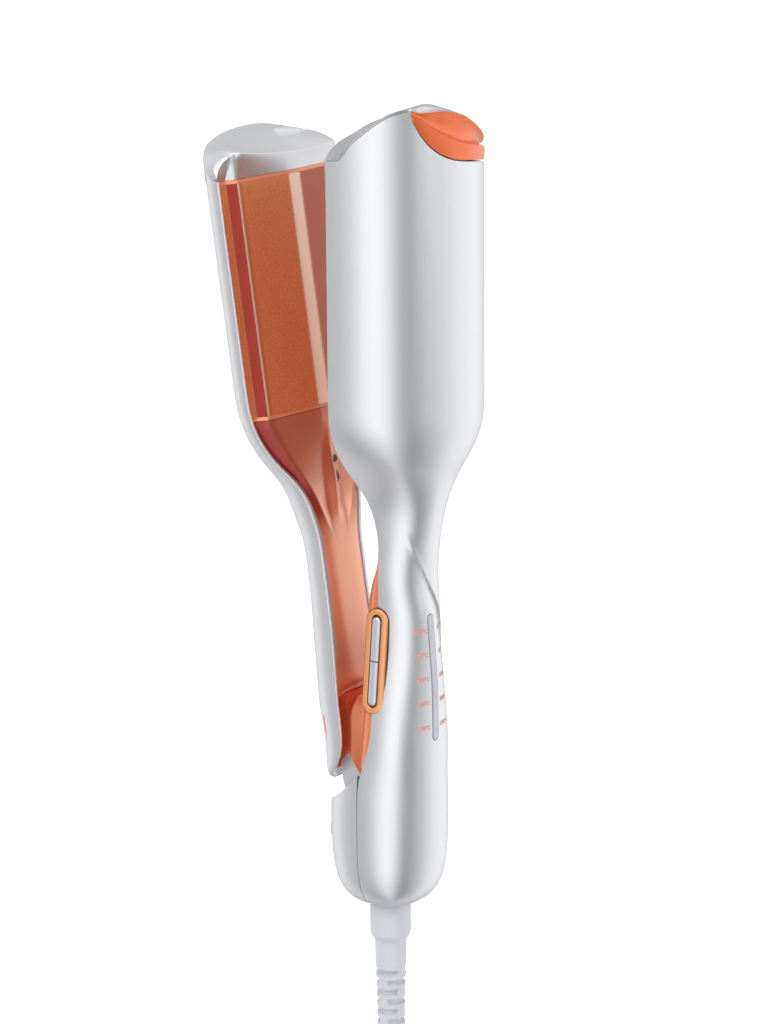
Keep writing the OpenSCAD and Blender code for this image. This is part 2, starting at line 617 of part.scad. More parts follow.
main_shell();
back_shell();
main_inner_cover();
main_end_cap();
main_tip_grip();
main_plate();
main_plate_frame();
main_heater();
main_insulator();
main_screws();
thermal_fuse();
control_board();
tact_switches();
button_bezel();
button_up();
button_down();
light_lens();
led_strip();
lock_slider();
hinge_block();
hinge_pin();
hinge_spring();
swivel_socket();
strain_relief();
cord();
cord_hank();
cord_tail();
cord_tie();
plug_body();
plug_pins();
lever_shell();
lever_inner_cover();
lever_end_cap();
lever_tip_grip();
lever_plate();
lever_plate_frame();
lever_heater();
lever_insulator();
lever_tongue();
lever_screws();
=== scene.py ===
# %% [markdown]
# # A hair waver, dressed piece by piece
# The waver is a hand grip with two long arms. The main arm is one with the
# grip, and the lever is hinged low in the housing. Both arms end in wide heads
# that hold wave-shaped hair plates. The CAD frame gives the place and motion
# of every piece, and this file gives each piece its final surface and finish.
# Lengths are written in millimetres above the base of the handle, as a maker
# would measure them, and only turned into the frame's metres at the end.

# %% Load the frame
import json
import math

import bmesh
import bpy
import numpy as np
from mathutils import Matrix, Vector


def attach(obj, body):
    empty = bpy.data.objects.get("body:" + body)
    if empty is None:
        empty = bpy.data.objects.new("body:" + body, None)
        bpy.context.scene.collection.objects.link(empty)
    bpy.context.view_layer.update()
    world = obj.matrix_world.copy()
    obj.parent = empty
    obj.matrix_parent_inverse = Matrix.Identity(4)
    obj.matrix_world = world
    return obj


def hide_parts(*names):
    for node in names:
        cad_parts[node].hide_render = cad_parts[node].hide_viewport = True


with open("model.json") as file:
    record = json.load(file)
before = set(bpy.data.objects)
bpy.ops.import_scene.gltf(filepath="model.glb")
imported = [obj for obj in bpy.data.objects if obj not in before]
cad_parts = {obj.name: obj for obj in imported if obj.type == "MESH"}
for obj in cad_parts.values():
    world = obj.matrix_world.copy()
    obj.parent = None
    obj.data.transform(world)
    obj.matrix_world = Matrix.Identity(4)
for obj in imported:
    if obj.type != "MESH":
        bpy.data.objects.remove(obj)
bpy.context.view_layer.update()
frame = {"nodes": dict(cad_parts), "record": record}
nodes = frame["nodes"]

# %% [markdown]
# ## Places
# Two things are needed all the time: moving a point from the maker's
# millimetres to the frame, and swinging a lever point from its closed place,
# where it is easy to draw, to its open place at rest. Turning the objects
# would do the same in the view, but a piece has to keep its place in its mesh,
# so both are done to the points.

# %% From millimetres to the frame, and the lever's swing
GRIP_HEIGHT = 60.0
PIVOT_X, PIVOT_Z = -3.0, 28.0
OPEN = math.radians(8.6)


def to_frame(points):
    """(x, y, z) mm above the base becomes (x, y, z - 60) / 1000."""
    return (np.asarray(points, float) - (0, 0, GRIP_HEIGHT)) / 1000


def swing(points):
    """Turns closed lever points about the pivot's Y axis by the open angle."""
    p = np.asarray(points, float)
    x, z = p[..., 0] - PIVOT_X, p[..., 2] - PIVOT_Z
    c, s = math.cos(OPEN), math.sin(OPEN)
    return np.stack([PIVOT_X + c * x - s * z, p[..., 1], PIVOT_Z + s * x + c * z], -1)


# %% [markdown]
# ## Camera
# The camera stands off to the left of the front, a little above the heads,
# with a long lens, so the arms hardly converge. Its matrix is written out
# from the view direction, because a small roll is part of the view.

# %% The camera
VIEW_TURN, VIEW_RISE, VIEW_ROLL = map(math.radians, (52.375, 14.033, -0.467))
TARGET = Vector((0, 0, 0.08137))
DISTANCE = 1.3413
away = Vector((math.cos(VIEW_TURN) * math.cos(VIEW_RISE),
               -math.sin(VIEW_TURN) * math.cos(VIEW_RISE), math.sin(VIEW_RISE)))
level = Vector((math.sin(VIEW_TURN), math.cos(VIEW_TURN), 0))
over = away.cross(level)
right = level * math.cos(VIEW_ROLL) + over * math.sin(VIEW_ROLL)
camera = bpy.data.objects.new("camera", bpy.data.cameras.new("camera"))
camera.data.sensor_fit = "HORIZONTAL"
camera.data.sensor_width = 36
camera.data.lens = 180.8
camera.data.shift_x = -0.00364
camera.data.clip_end = 20
turned = Matrix((right, away.cross(right), away)).transposed().to_4x4()
camera.matrix_world = Matrix.Translation(TARGET + away * DISTANCE) @ turned
bpy.context.scene.collection.objects.link(camera)
bpy.context.scene.camera = camera
print("camera at", [round(v, 3) for v in camera.location])

# %% [markdown]
# ## From arrays to pieces
# Every new surface is computed as one array of points. These helpers turn a
# grid into faces, close a wall between an outer and an inner grid, close a
# stack of rings, and make the mesh. The piece is given its body, its finish
# and the CAD nodes it stands for in the same call, so none is forgotten.

# %% Faces for grids, walls and stacks


def grid_faces(rows, cols, around=False):
    """Quads of a grid; around joins the last column to the first."""
    r, c = np.meshgrid(np.arange(rows - 1), np.arange(cols if around else cols - 1),
                       indexing="ij")
    a, b = r * cols + c, r * cols + (c + 1) % cols
    return np.stack([a, b, b + cols, a + cols], -1).reshape(-1, 4)


def wall(outer, inner):
    """A closed wall: outer grid, inner grid turned round, and four rim strips."""
    rows, cols = outer.shape[:2]
    n = rows * cols
    skin = grid_faces(rows, cols)
    index = np.arange(n).reshape(rows, cols)
    strips = []
    for edge in (index[0], index[::-1, 0], index[-1, ::-1], index[:, -1]):
        strips.append(np.stack([edge[1:], edge[:-1], edge[:-1] + n, edge[1:] + n], -1))
    points = np.concatenate([outer.reshape(-1, 3), inner.reshape(-1, 3)])
    faces = np.concatenate([skin, skin[:, ::-1] + n] + strips)
    return points, [tuple(f) for f in faces.tolist()]


def stack(rings, ends=(True, True)):
    """Closed rings joined one to the next, each end shut with one face."""
    rings = np.asarray(rings, float)
    rows, cols = rings.shape[:2]
    faces = [tuple(f) for f in grid_faces(rows, cols, around=True).tolist()]
    if ends[0]:
        faces.append(tuple(range(cols))[::-1])
    if ends[1]:
        faces.append(tuple(range((rows - 1) * cols, rows * cols)))
    return rings.reshape(-1, 3), faces


def loop_back(rings):
    """Closed rings whose last ring joins the first, as in a frame or hoop."""
    rings = np.asarray(rings, float)
    rings = np.concatenate([rings, rings[:1]])
    return stack(rings, ends=(False, False))


def several(*parts):
    """Puts several (points, faces) bodies into one mesh."""
    points, faces, start = [], [], 0
    for p, f in parts:
        points.append(np.asarray(p, float).reshape(-1, 3))
        faces += [tuple(i + start for i in face) for face in f]
        start += len(points[-1])
    return np.concatenate(points), faces


# %% One call for a finished piece


def piece(name, shape, body, finish, stands_for=(), bevel=0.0, lever=False,
          sharp=40, segments=2, values=None, edges=None):
    """Mesh of shape = (points, faces) in mm, merged, turned outwards and finished.
    values are numbers for each point, and edges is a finish for the bevelled edges."""
    points, faces = shape
    points = to_frame(swing(points) if lever else points)
    mesh = bpy.data.meshes.new(name)
    mesh.from_pydata(points.tolist(), [], faces)
    for key, numbers in (values or {}).items():
        layer = mesh.attributes.new(key, "FLOAT", "POINT")
        layer.data.foreach_set("value", np.asarray(numbers, np.float32).ravel())
    bm = bmesh.new()
    bm.from_mesh(mesh)
    bmesh.ops.remove_doubles(bm, verts=bm.verts, dist=2e-6)
    bmesh.ops.dissolve_degenerate(bm, edges=bm.edges, dist=1e-6)
    bmesh.ops.recalc_face_normals(bm, faces=bm.faces)
    bm.to_mesh(mesh)
    bm.free()
    mesh.shade_smooth()
    obj = bpy.data.objects.new(name, mesh)
    bpy.context.scene.collection.objects.link(obj)
    mesh.materials.append(finish)
    if bevel:
        edge = obj.modifiers.new("edge", "BEVEL")
        edge.width, edge.segments = bevel / 1000, segments
        edge.limit_method, edge.angle_limit = "ANGLE", math.radians(sharp)
        edge.harden_normals = True
        if edges:
            mesh.materials.append(edges)
            edge.material = 1
    else:
        mesh.set_sharp_from_angle(angle=math.radians(sharp))
    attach(obj, body)
    if stands_for:
        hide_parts(*stands_for)
    print(f"{name}: {len(mesh.polygons)} faces on {body}")
    return obj


# %% [markdown]
# ## Smooth stations
# A moulded handle is drawn through a few measured sections. A plain cubic
# through them would ring, and straight lines would show in the reflections,
# so the stations are joined by a monotone cubic along the profile's length
# and then blurred by a few millimetres.

# %% Monotone cubic and blurred stations


def monotone(x, y, q):
    """Cubic Hermite through (x, y) with harmonic-mean slopes, read at q."""
    x, y = np.asarray(x, float), np.asarray(y, float)
    h = np.diff(x)
    d = np.diff(y) / h
    m = np.zeros_like(y)
    m[0], m[-1] = d[0], d[-1]
    same = d[:-1] * d[1:] > 0
    w1, w2 = 2 * h[1:] + h[:-1], h[1:] + 2 * h[:-1]
    safe = np.where(same, d[:-1], 1), np.where(same, d[1:], 1)
    m[1:-1] = np.where(same, (w1 + w2) / (w1 / safe[0] + w2 / safe[1]), 0)
    k = np.clip(np.searchsorted(x, q) - 1, 0, len(x) - 2)
    t = (np.clip(q, x[0], x[-1]) - x[k]) / h[k]
    return ((1 + 2 * t) * (1 - t) ** 2 * y[k] + t * (1 - t) ** 2 * h[k] * m[k]
            + t * t * (3 - 2 * t) * y[k + 1] + t * t * (t - 1) * h[k] * m[k + 1])


def smooth(x, low=0.0, high=1.0):
    """0 below low, 1 above high, 3t^2 - 2t^3 between."""
    t = np.clip((np.asarray(x, float) - low) / (high - low), 0, 1)
    return t * t * (3 - 2 * t)


def blurred(values, sigma):
    """Gaussian blur down the columns, with the end rows held."""
    reach = int(3 * sigma) + 1
    kernel = np.exp(-0.5 * (np.arange(-reach, reach + 1) / sigma) ** 2)
    kernel /= kernel.sum()
    held = np.pad(values, ((reach, reach), (0, 0)), mode="edge")
    return np.stack([np.convolve(c, kernel, "valid") for c in held.T], -1)


def stations(rows, sharp_until, fine=1.0, soft=3.0, step=0.5):
    """[z, half width, rim, depth] resampled each step mm along the profile."""
    rows = np.asarray(rows, float)
    length = np.r_[0, np.cumsum(np.hypot(*np.diff(rows[:, :2], axis=0).T) + 1e-6)]
    q = np.arange(0, length[-1] + step / 2, step)
    full = np.stack([monotone(length, rows[:, k], q) for k in range(4)], -1)
    near, far = blurred(full, fine / step), blurred(full, soft / step)
    near[0], far[0] = full[0], full[0]
    mix = smooth(full[:, :1], sharp_until, sharp_until + 15)
    return np.c_[full[:, :1], (near * (1 - mix) + far * mix)[:, 1:]]


def section(rows, a, side, power, inset=0.0):
    """x = rim + side depth cos(a)^(2/p), y = half width sin(a)^(2/p)."""
    z, w, rim, depth = (rows[:, k, None] for k in range(4))
    c = np.abs(np.cos(a)) ** (2 / power)
    s = np.sign(np.sin(a)) * np.abs(np.sin(a)) ** (2 / power)
    x = rim + side * np.maximum(depth - inset, 0.2) * c
    y = np.maximum(w - inset, 0.1) * s
    return np.stack(np.broadcast_arrays(x, y, z + 0 * c), -1)


# %% [markdown]
# A station is a height with the half width, the rim and the depth there. The
# rim is where the half section starts, so the two arms can lie off the axis.
# The first rows of both arms are close together, because that is where the
# outline turns fastest.

# %% Stations of the main arm and the lever
HALF_HEAD, HEAD_DEPTH = 32.5, 32.0
LEVER_RIM, LEVER_DEPTH = -12.6, 14.4
PLATE_START, PLATE_END = 177.4, 260.8
WALL = 1.6
POWER = 2.35
base_profile = [[0.0, 9.5], [0.7, 11.3], [1.8, 13], [3.8, 15], [6.1, 16.4], [9, 17.5],
                [12.5, 18.3], [17, 18.8], [24, 19.05], [36, 19.0]]
base_rows = [[z, w, 0, w * (1 + 0.063 * z / 36)] for z, w in base_profile]
arm_rows = base_rows + [
    [46, 18.5, 0, 20.3], [54, 17.9, 2.2, 18.2], [65, 16.7, 4.6, 15.9],
    [78, 14.9, 4.5, 15.9], [96, 12.3, 4.4, 15.5], [108, 11.8, 4.8, 14.8],
    [120, 12.5, 5.4, 12.8], [132, 12.3, 5.5, 13.9], [138, 12.5, 4.9, 15.6],
    [144, 13.3, 3.8, 18], [150, 15.6, 2.5, 21.1], [156, 19.5, 1.05, 24.4],
    [162, 24, 0, 28.4], [168, 28.2, 0, 30.6], [174, 31, 0, HEAD_DEPTH]]
arm_rows += [[z, HALF_HEAD, 0, HEAD_DEPTH] for z in (180, 200, 240, PLATE_END)]
lever_rows = [
    [43.6, 0.6, -21.1, 0.4], [44, 2.6, -20.8, 0.7], [45, 5.0, -19.6, 1.8],
    [46.6, 7.6, -17.6, 3.5], [49, 10.3, -14.0, 6.6], [52.5, 12.0, -10.4, 9.8],
    [57, 13.2, -7.5, 12.2], [62, 13.9, -6.1, 13.3], [67, 14.2, -5.5, 14],
    [72, 14.3, -5.5, 14.4],
    [82, 13.5, -5.5, 14.2], [94, 12.6, -5.5, 13.9], [106, 12.1, -5.5, 13.1],
    [118, 12, -5.5, 12.5], [130, 12, -5.5, 12.6], [136, 12.9, -5.5, 13.5],
    [142, 14.4, -5.6, 14.6], [148, 15.8, -6.4, 14.6], [154, 18.6, -8, 14.3],
    [160, 22.9, -10.2, 13.9], [166, 26.5, -11.9, 13.6], [172, 29.5, -12.6, 13.4],
    [178, 31.8, LEVER_RIM, 13.8]]
lever_rows += [[z, HALF_HEAD, LEVER_RIM, LEVER_DEPTH] for z in (184, 200, 240, PLATE_END)]
arm = stations(arm_rows, 24)
lever = stations(lever_rows, 56)
print("arm stations:", arm.shape, "lever stations:", lever.shape)

# %% [markdown]
# Neither head is cut off straight: its top edge rises from the near corner and
# falls to the far one. A boolean with a curved cutter would leave slivers, so
# the edge is a height for every width, and the shell's last rows are stretched
# to it. The tip that is let into the main head has three such lines of its own.

# %% Heights of the heads' outer edges over their width


def angle_of(y):
    """The section angle, in degrees, at which the head is y wide."""
    share = np.clip(np.abs(y) / HALF_HEAD, 0, 1)
    return np.sign(y) * np.degrees(np.arcsin(share ** (POWER / 2)))


def main_edge(y):
    """Main head's top edge against the section angle: a steep rise at the near
    corner, highest at y = -17, then a long fall to the far side."""
    at = [-90, -83, -80, -76, -71.7, -66, -61, -55.6, -50.3, -45, -40, -29, -22.6,
          -14, -4.5, 2, 12, 23, 37.7, 53.6, 90]
    z = [269, 270, 271.8, 275, 277.2, 279.6, 281.7, 283.6, 285.1, 286, 286.6, 287, 286.8,
         286.2, 284.8, 282.5, 279.2, 275.9, 272, 268.8, 265.7]
    return monotone(at, z, angle_of(y))


def lever_edge(y):
    """Lever head's top edge: highest at y = 4, low at the near corner."""
    at = [-32.5, -32.1, -31.2, -29.9, -28.1, -25.9, -24.2, -22.3, -20.3, -15.6, -10.3,
          -2.3, 4, 10.3, 14.4, 18, 21.3, 24.2, 26.7, 28.8, 30.8, 32.1, 32.5]
    z = [262.2, 263.4, 265.2, 267.4, 269.3, 270.9, 271.9, 272.9, 273.7, 275, 276.1, 277,
         277.3, 277.1, 276.5, 275.7, 274.8, 273.9, 272.8, 271.8, 270.2, 268.6, 267.6]
    return monotone(at, z, y)


TIP_FROM = -20.5


def tip_high(y):
    """Upper edge of the tip: the cap stands above it at the near end."""
    return main_edge(y) - monotone([-20.5, -17.5, -14.4, -9.8, -3.7, 0, 3, 32.5],
                                   [1.0, 2.2, 2.1, 1.5, 0.8, 0.3, 0.1, 0.1], y)


def tip_low(y):
    """Lower edge of the main head's orange tip."""
    return monotone([-20.6, -20.4, -19.2, -17.7, -14.1, -8.3, -1.4, 6.8, 17.8, 25, 32.5],
                    [286, 284.2, 281, 278.1, 273.6, 269.9, 267.7, 266.5, 265, 263.6,
                     262.4], y)


def tip_crease(y):
    """The crease where the tip's dished upper facet starts."""
    crease = monotone([-20.5, -17, -13.8, -7.2, 1.9, 14.5, 21.4, 32.5],
                      [284.9, 282.4, 279.7, 276.3, 272.9, 270.4, 268.7, 264.2], y)
    return np.clip(crease, tip_low(y) + 0.25, main_edge(y) - 0.25)


# %% [markdown]
# ## Finishes
# Shader maths is written as plain expressions: a small class wraps a socket
# and adds a Math node for each operator. Everything else comes from one method
# that makes any node from its type, settings and inputs. Patterns read the
# object's own coordinates in metres, so a scale of 1000 is one per millimetre.

# %% Sockets as numbers


def lin(r, g, b):
    """A colour picked as 0-255 screen values, as linear light."""
    c = np.array([r, g, b]) / 255
    return tuple(np.where(c <= 0.04045, c / 12.92, ((c + 0.055) / 1.055) ** 2.4)) + (1,)


class Number:
    """A float socket that adds Math nodes when it is used in an expression."""

    def __init__(self, recipe, socket):
        self.recipe, self.socket = recipe, socket

    def _math(self, operation, *values):
        """A Math node on one or two values."""
        return self.recipe.node("ShaderNodeMath", {"operation": operation},
                                dict(enumerate(values)))

    def __add__(self, other): return self._math("ADD", self, other)
    def __radd__(self, other): return self._math("ADD", other, self)
    def __sub__(self, other): return self._math("SUBTRACT", self, other)
    def __rsub__(self, other): return self._math("SUBTRACT", other, self)
    def __mul__(self, other): return self._math("MULTIPLY", self, other)
    def __rmul__(self, other): return self._math("MULTIPLY", other, self)


# %% A material under construction


class Recipe:
    """A material under construction, or the sky's nodes when a world is given."""

    def __init__(self, name, world=None):
        self.material = world or bpy.data.materials.new(name)
        self.material.use_nodes = True
        self.tree = self.material.node_tree
        self.shader = self.tree.nodes.get("Principled BSDF")
        where = self.tree.nodes.new("ShaderNodeTexCoord")
        self.coords = where.outputs["Generated" if world else "Object"]

    def put(self, socket, value):
        """Sets a socket to a number or colour, or links one into it."""
        if isinstance(value, Number):
            value = value.socket
        if isinstance(value, bpy.types.NodeSocket):
            self.tree.links.new(value, socket)
        else:
            socket.default_value = value

    def node(self, kind, settings=None, inputs=None, output=0):
        """Any node: its type, its settings and the values of its inputs."""
        new = self.tree.nodes.new(kind)
        for key, value in (settings or {}).items():
            if key == "stops":
                ramp = new.color_ramp
                while len(ramp.elements) < len(value):
                    ramp.elements.new(0.5)
                for element, (place, colour) in zip(ramp.elements, value):
                    element.position, element.color = place, colour
            else:
                setattr(new, key, value)
        for key, value in (inputs or {}).items():
            self.put(new.inputs[key], value)
        return Number(self, new.outputs[output])

    def noise(self, scale, detail=2.0, stretch=None):
        """Smooth noise from 0 to 1; scale is per metre."""
        where = self.coords
        if stretch:
            where = self.node("ShaderNodeMapping", {}, {"Vector": where, "Scale": stretch})
        return self.node("ShaderNodeTexNoise", {}, {
            "Vector": where, "Scale": scale, "Detail": detail})

    def flakes(self, scale):
        """A random grey for each small cell; scale is cells per metre."""
        cell = self.node("ShaderNodeTexVoronoi", {"feature": "F1"}, {
            "Vector": self.coords, "Scale": scale}, output=1)
        return self.node("ShaderNodeSeparateColor", {}, {"Color": cell})

    def axes(self, vector):
        """The three numbers of a vector."""
        split = self.node("ShaderNodeSeparateXYZ", {}, {"Vector": vector}).socket.node
        return [Number(self, split.outputs[k]) for k in range(3)]

    def mix(self, factor, a, b, blend="MIX"):
        """Colour a where factor is 0 and b, or a blended with b, where it is 1."""
        return self.node("ShaderNodeMix", {"data_type": "RGBA", "blend_type": blend},
                         {0: factor, 6: a, 7: b}, output=2)

    def ramp(self, value, low, high):
        """value carried from low..high to a soft 0..1."""
        return self.node("ShaderNodeMapRange", {"interpolation_type": "SMOOTHSTEP"}, {
            "Value": value, "From Min": low, "From Max": high})

    def attribute(self, name):
        """A number kept on the mesh's points."""
        return self.node("ShaderNodeAttribute", {"attribute_name": name}, {}, output=2)

    def height(self, *layers):
        """Bump from (height, distance in metres, strength) layers."""
        normal = None
        for value, distance, strength in layers:
            inputs = {"Height": value, "Distance": distance, "Strength": strength}
            if normal is not None:
                inputs["Normal"] = normal
            normal = self.node("ShaderNodeBump", {}, inputs)
        return normal

    def finish(self, **sockets):
        """Sets the Principled sockets, written with _ for a space."""
        for key, value in sockets.items():
            self.put(self.shader.inputs[key.replace("_", " ")], value)
        return self.material


# %% [markdown]
# The shells are plastic under a satin silver lacquer. Such lacquer is tiny
# aluminium flakes in clear varnish: a metal shader with a fairly wide gloss,
# a fine sparkle in the colour, and the slight orange peel of sprayed paint.

# %% Silver lacquer


def silver_lacquer(name, tone, rough, peel_share=0.25):
    """Colour = tone + 5 (0.35 sparkle + 0.2 drift), and bump = orange peel + fine grain."""
    r = Recipe(name)
    sparkle = r.flakes(5200.0)
    drift = r.noise(18.0, 3.0)
    colour = r.mix(sparkle * 0.35 + drift * 0.2, lin(tone - 5, tone - 4, tone - 1),
                   lin(tone + 5, tone + 6, tone + 8))
    peel = r.noise(900.0, 2.0)
    grain = r.noise(4200.0, 1.0)
    return r.finish(Base_Color=colour, Metallic=0.86, Roughness=rough + peel * 0.05,
                    Coat_Weight=0.25, Coat_Roughness=0.22,
                    Normal=r.height((peel, 0.00004, peel_share), (grain, 0.00001, 0.3)))


silver = silver_lacquer("silver lacquer", 218, 0.30)
# Painted shade: the end caps and the lock slider take copies of the same lacquer with a darker
# tone, the main cap the darkest, so their up-facing tops look shaded.
silver_painted_shade = silver_lacquer("silver lacquer, painted shade", 206, 0.33, 0.04)
silver_deeper_painted_shade = silver_lacquer("silver lacquer, deeper painted shade, main cap", 172, 0.4, 0.04)

# %% [markdown]
# The inner covers are moulded plastic with a glossy rose-copper lacquer: the
# same recipe as the silver with a smoother surface. In the funnel such a piece
# mirrors itself again and again and turns a deep orange red. Long light paths
# could find that colour, but slowly and with noise, so it is painted in: a number
# kept on each point, deep, says how much painted shade and painted reflected red
# the colour takes there, and a second number, warm, paints the orange of light
# bounced low in the channel.

# %% Copper lacquer, plate coat and orange trim


def copper_lacquer(name, light, deep, rough, metal=0.6, coat=0.4):
    """light is the lit colour, and the point value "deep" mixes in deep as painted
    shade and painted reflected red; "warm" paints the orange of bounced light."""
    r = Recipe(name)
    drift = r.noise(26.0, 3.0)
    peel = r.noise(700.0, 2.0)
    sparkle = r.flakes(4200.0)
    base = r.mix(r.attribute("deep"), light, deep)
    base = r.mix(r.attribute("warm"), base, lin(255, 112, 62))
    shade = r.mix(drift * 0.5 + sparkle * 0.5, (0.93, 0.9, 0.88, 1), (1.0, 1.0, 1.0, 1))
    colour = r.mix(1.0, base, shade, "MULTIPLY")
    return r.finish(Base_Color=colour, Metallic=metal, Roughness=rough + drift * 0.05,
                    Coat_Weight=coat, Coat_Roughness=0.1,
                    Normal=r.height((peel, 0.00003, 0.2)))


copper = copper_lacquer("copper lacquer", lin(246, 180, 148), lin(158, 30, 18), 0.32, 0.45)
root_copper = copper_lacquer("copper lacquer, root", lin(236, 140, 92), lin(186, 66, 40), 0.3)
orange = copper_lacquer("orange trim", lin(232, 112, 56), lin(236, 108, 50), 0.3)
bezel_orange = copper_lacquer("orange bezel", lin(240, 164, 108), lin(236, 156, 98), 0.36)
strip_copper = copper_lacquer("plate strip", lin(250, 160, 126), lin(200, 84, 58), 0.4, 0.2)


def tongue_finish():
    """Copper above a sloping line and grey plastic below it; the copper is a bright
    orange, painted bounce light for the dark channel where it sits.
    """
    r = Recipe("tongue, copper over grey")
    x, _, z = r.axes(r.coords)
    above = r.ramp(z - x * 1.087, 0.00705, 0.00735)
    grain = r.noise(1200.0, 2.0)
    colour = r.mix(above, lin(196, 198, 203), lin(255, 118, 76))
    return r.finish(Base_Color=colour, Metallic=above * 0.1, Roughness=0.34 + grain * 0.1,
                    Normal=r.height((grain, 0.00003, 0.3)))


# %% [markdown]
# The hair plates are aluminium under a copper-coloured ceramic coat. It is
# matter than the covers, with a fine speckle that shows at arm's length.

# %% Ceramic plate coat


def plate_coat():
    """Painted light on the coat: painted shade on the steep walls and a painted
    highlight along the crest and the eave edge; two point values say where."""
    r = Recipe("copper plate coat")
    speck = r.noise(2600.0, 3.0)
    streak = r.noise(300.0, 3.0, stretch=(6, 6, 0.4))
    fine = r.ramp(speck, 0.36, 0.66)
    colour = r.mix(fine, lin(228, 134, 86), lin(250, 166, 114))
    colour = r.mix(streak * 0.2, colour, lin(238, 132, 86))
    # Painted shade on the walls, then a painted highlight on the crest and eave edge.
    colour = r.mix(r.attribute("deep"), colour, lin(150, 36, 14))
    colour = r.mix(r.attribute("worn"), colour, lin(255, 232, 208))
    return r.finish(Base_Color=colour, Metallic=0.4, Roughness=0.36 + speck * 0.12,
                    Coat_Weight=0.15, Coat_Roughness=0.2,
                    Normal=r.height((speck, 0.00003, 0.3)))


plate = plate_coat()

# %% [markdown]
# Everything else is plain stock: moulded plastic, plated steel, mica, laminate.
# Real stock is never one flat colour, because its tone drifts and the mould
# leaves a spark-eroded skin. One recipe with both covers them all, and only
# its colour, gloss, skin and metal share differ.

# %% Plain plastics, metals and the rest


def moulded(name, colour, rough, texture=1500.0, bump=0.00004, metal=0.0, vary=0.1):
    """Moulded or plated stock: a drifting tone and a fine spark-eroded skin."""
    r = Recipe(name)
    drift = r.noise(40.0, 3.0)
    skin = r.noise(texture, 2.0)
    darker = tuple(c * (1 - vary) for c in colour[:3]) + (1,)
    return r.finish(Base_Color=r.mix(drift, darker, colour), Metallic=metal,
                    Roughness=rough + skin * 0.12,
                    Normal=r.height((skin, bump, 0.4)))


finishes = {
    "silver_shell": silver, "copper_cover": copper, "copper_plate": plate,
    "orange_trim": orange,
    "silver_button": moulded("silver button", lin(206, 208, 213), 0.3, 2200.0, 0.00002, 0.6),
    "lens": moulded("frosted lens", lin(196, 198, 203), 0.3, 900.0, 0.00002),
    "grey_inner": moulded("grey inner plastic", lin(172, 174, 180), 0.42),
    "dark_carrier": moulded("dark carrier", lin(48, 46, 47), 0.45),
    "heater_metal": moulded("heater bars", lin(190, 190, 192), 0.35, 500.0, 0.00003, 0.9),
    "mica": moulded("pressed mica", lin(208, 196, 164), 0.5, 600.0, 0.00006, 0.0, 0.25),
    "circuit_board": moulded("board laminate", lin(44, 98, 66), 0.35, 1200.0, 0.00002),
    "steel": moulded("plated steel", lin(176, 178, 182), 0.26, 800.0, 0.00002, 1.0),
    "cord_grey": moulded("cord sheath", lin(208, 210, 214), 0.42, 1800.0, 0.00003),
    "plug_grey": moulded("plug plastic", lin(210, 212, 216), 0.4, 1600.0, 0.00003),
    "plug_metal": moulded("plug metal", lin(214, 210, 200), 0.2, 600.0, 0.00001, 1.0),
}
# Painted highlight: a near-white finish for the bevelled rims and the lever's rim bead, for the
# bright line that light draws along a sharp silver edge.
rim_painted_highlight = moulded("painted rim highlight", lin(243, 251, 255), 0.4, 2400.0, 0.00001, 0.0, 0.02)
# Painted shadow: a dark brown for the gaps round the bezel and its bars.
gap_painted_shadow = moulded("painted gap shadow", lin(96, 52, 34), 0.5)
seal_grey = moulded("rim seal", lin(176, 178, 184), 0.45)
# Painted shadow: near black for the inside of the two vents.
vent_painted_shadow = moulded("vent shadow", lin(24, 14, 12), 0.6)
print("finishes:", len(bpy.data.materials))

# %% [markdown]
# ## The mains cord first
# The cord's length and route decide how large the whole model is, so it is
# laid before any looks. It leaves the guard straight down, swings into a hank
# of six turns in line with the handle, and ends at the plug inside the hank.
# Runs of 70 mm are joined by round folds, an outer and an inner turn side by
# side in three layers, so each run has a slot of its own.

# %% The cord's route
CORD = 6.5
RUN = 70.0
FOLD_IN, FOLD_OUT = 19.5, 26.2
LAYER = 6.68
HANK_MIDDLE = -149.45
top, low = HANK_MIDDLE + RUN / 2, HANK_MIDDLE - RUN / 2


def swerve(y0, z0, y1, z1, x=0.0, n=14):
    """An S of two equal arcs from (y0, z0) down to (y1, z1), upright at both ends."""
    half = math.atan2(abs(y1 - y0), z0 - z1)
    radius = (z0 - z1) / (2 * math.sin(2 * half))
    t = np.linspace(0, 2 * half, n)
    way = np.sign(y1 - y0)
    first = np.stack([0 * t + x, y0 + way * radius * (1 - np.cos(t)),
                      z0 - radius * np.sin(t)], -1)
    second = np.stack([0 * t + x, y1 - way * radius * (1 - np.cos(t)),
                       z1 + radius * np.sin(t)], -1)[::-1]
    return np.concatenate([first, second[1:]])


def fold(a, b, z, up, n=24):
    """Half a turn from (x, y) = a to b, bulging up or down from height z."""
    t = np.linspace(0, 1, n)
    ease = smooth(t)
    middle, radius = (a[1] + b[1]) / 2, (b[1] - a[1]) / 2
    return np.stack([a[0] + (b[0] - a[0]) * ease, middle - radius * np.cos(np.pi * t),
                     z + up * abs(radius) * np.sin(np.pi * t)], -1)


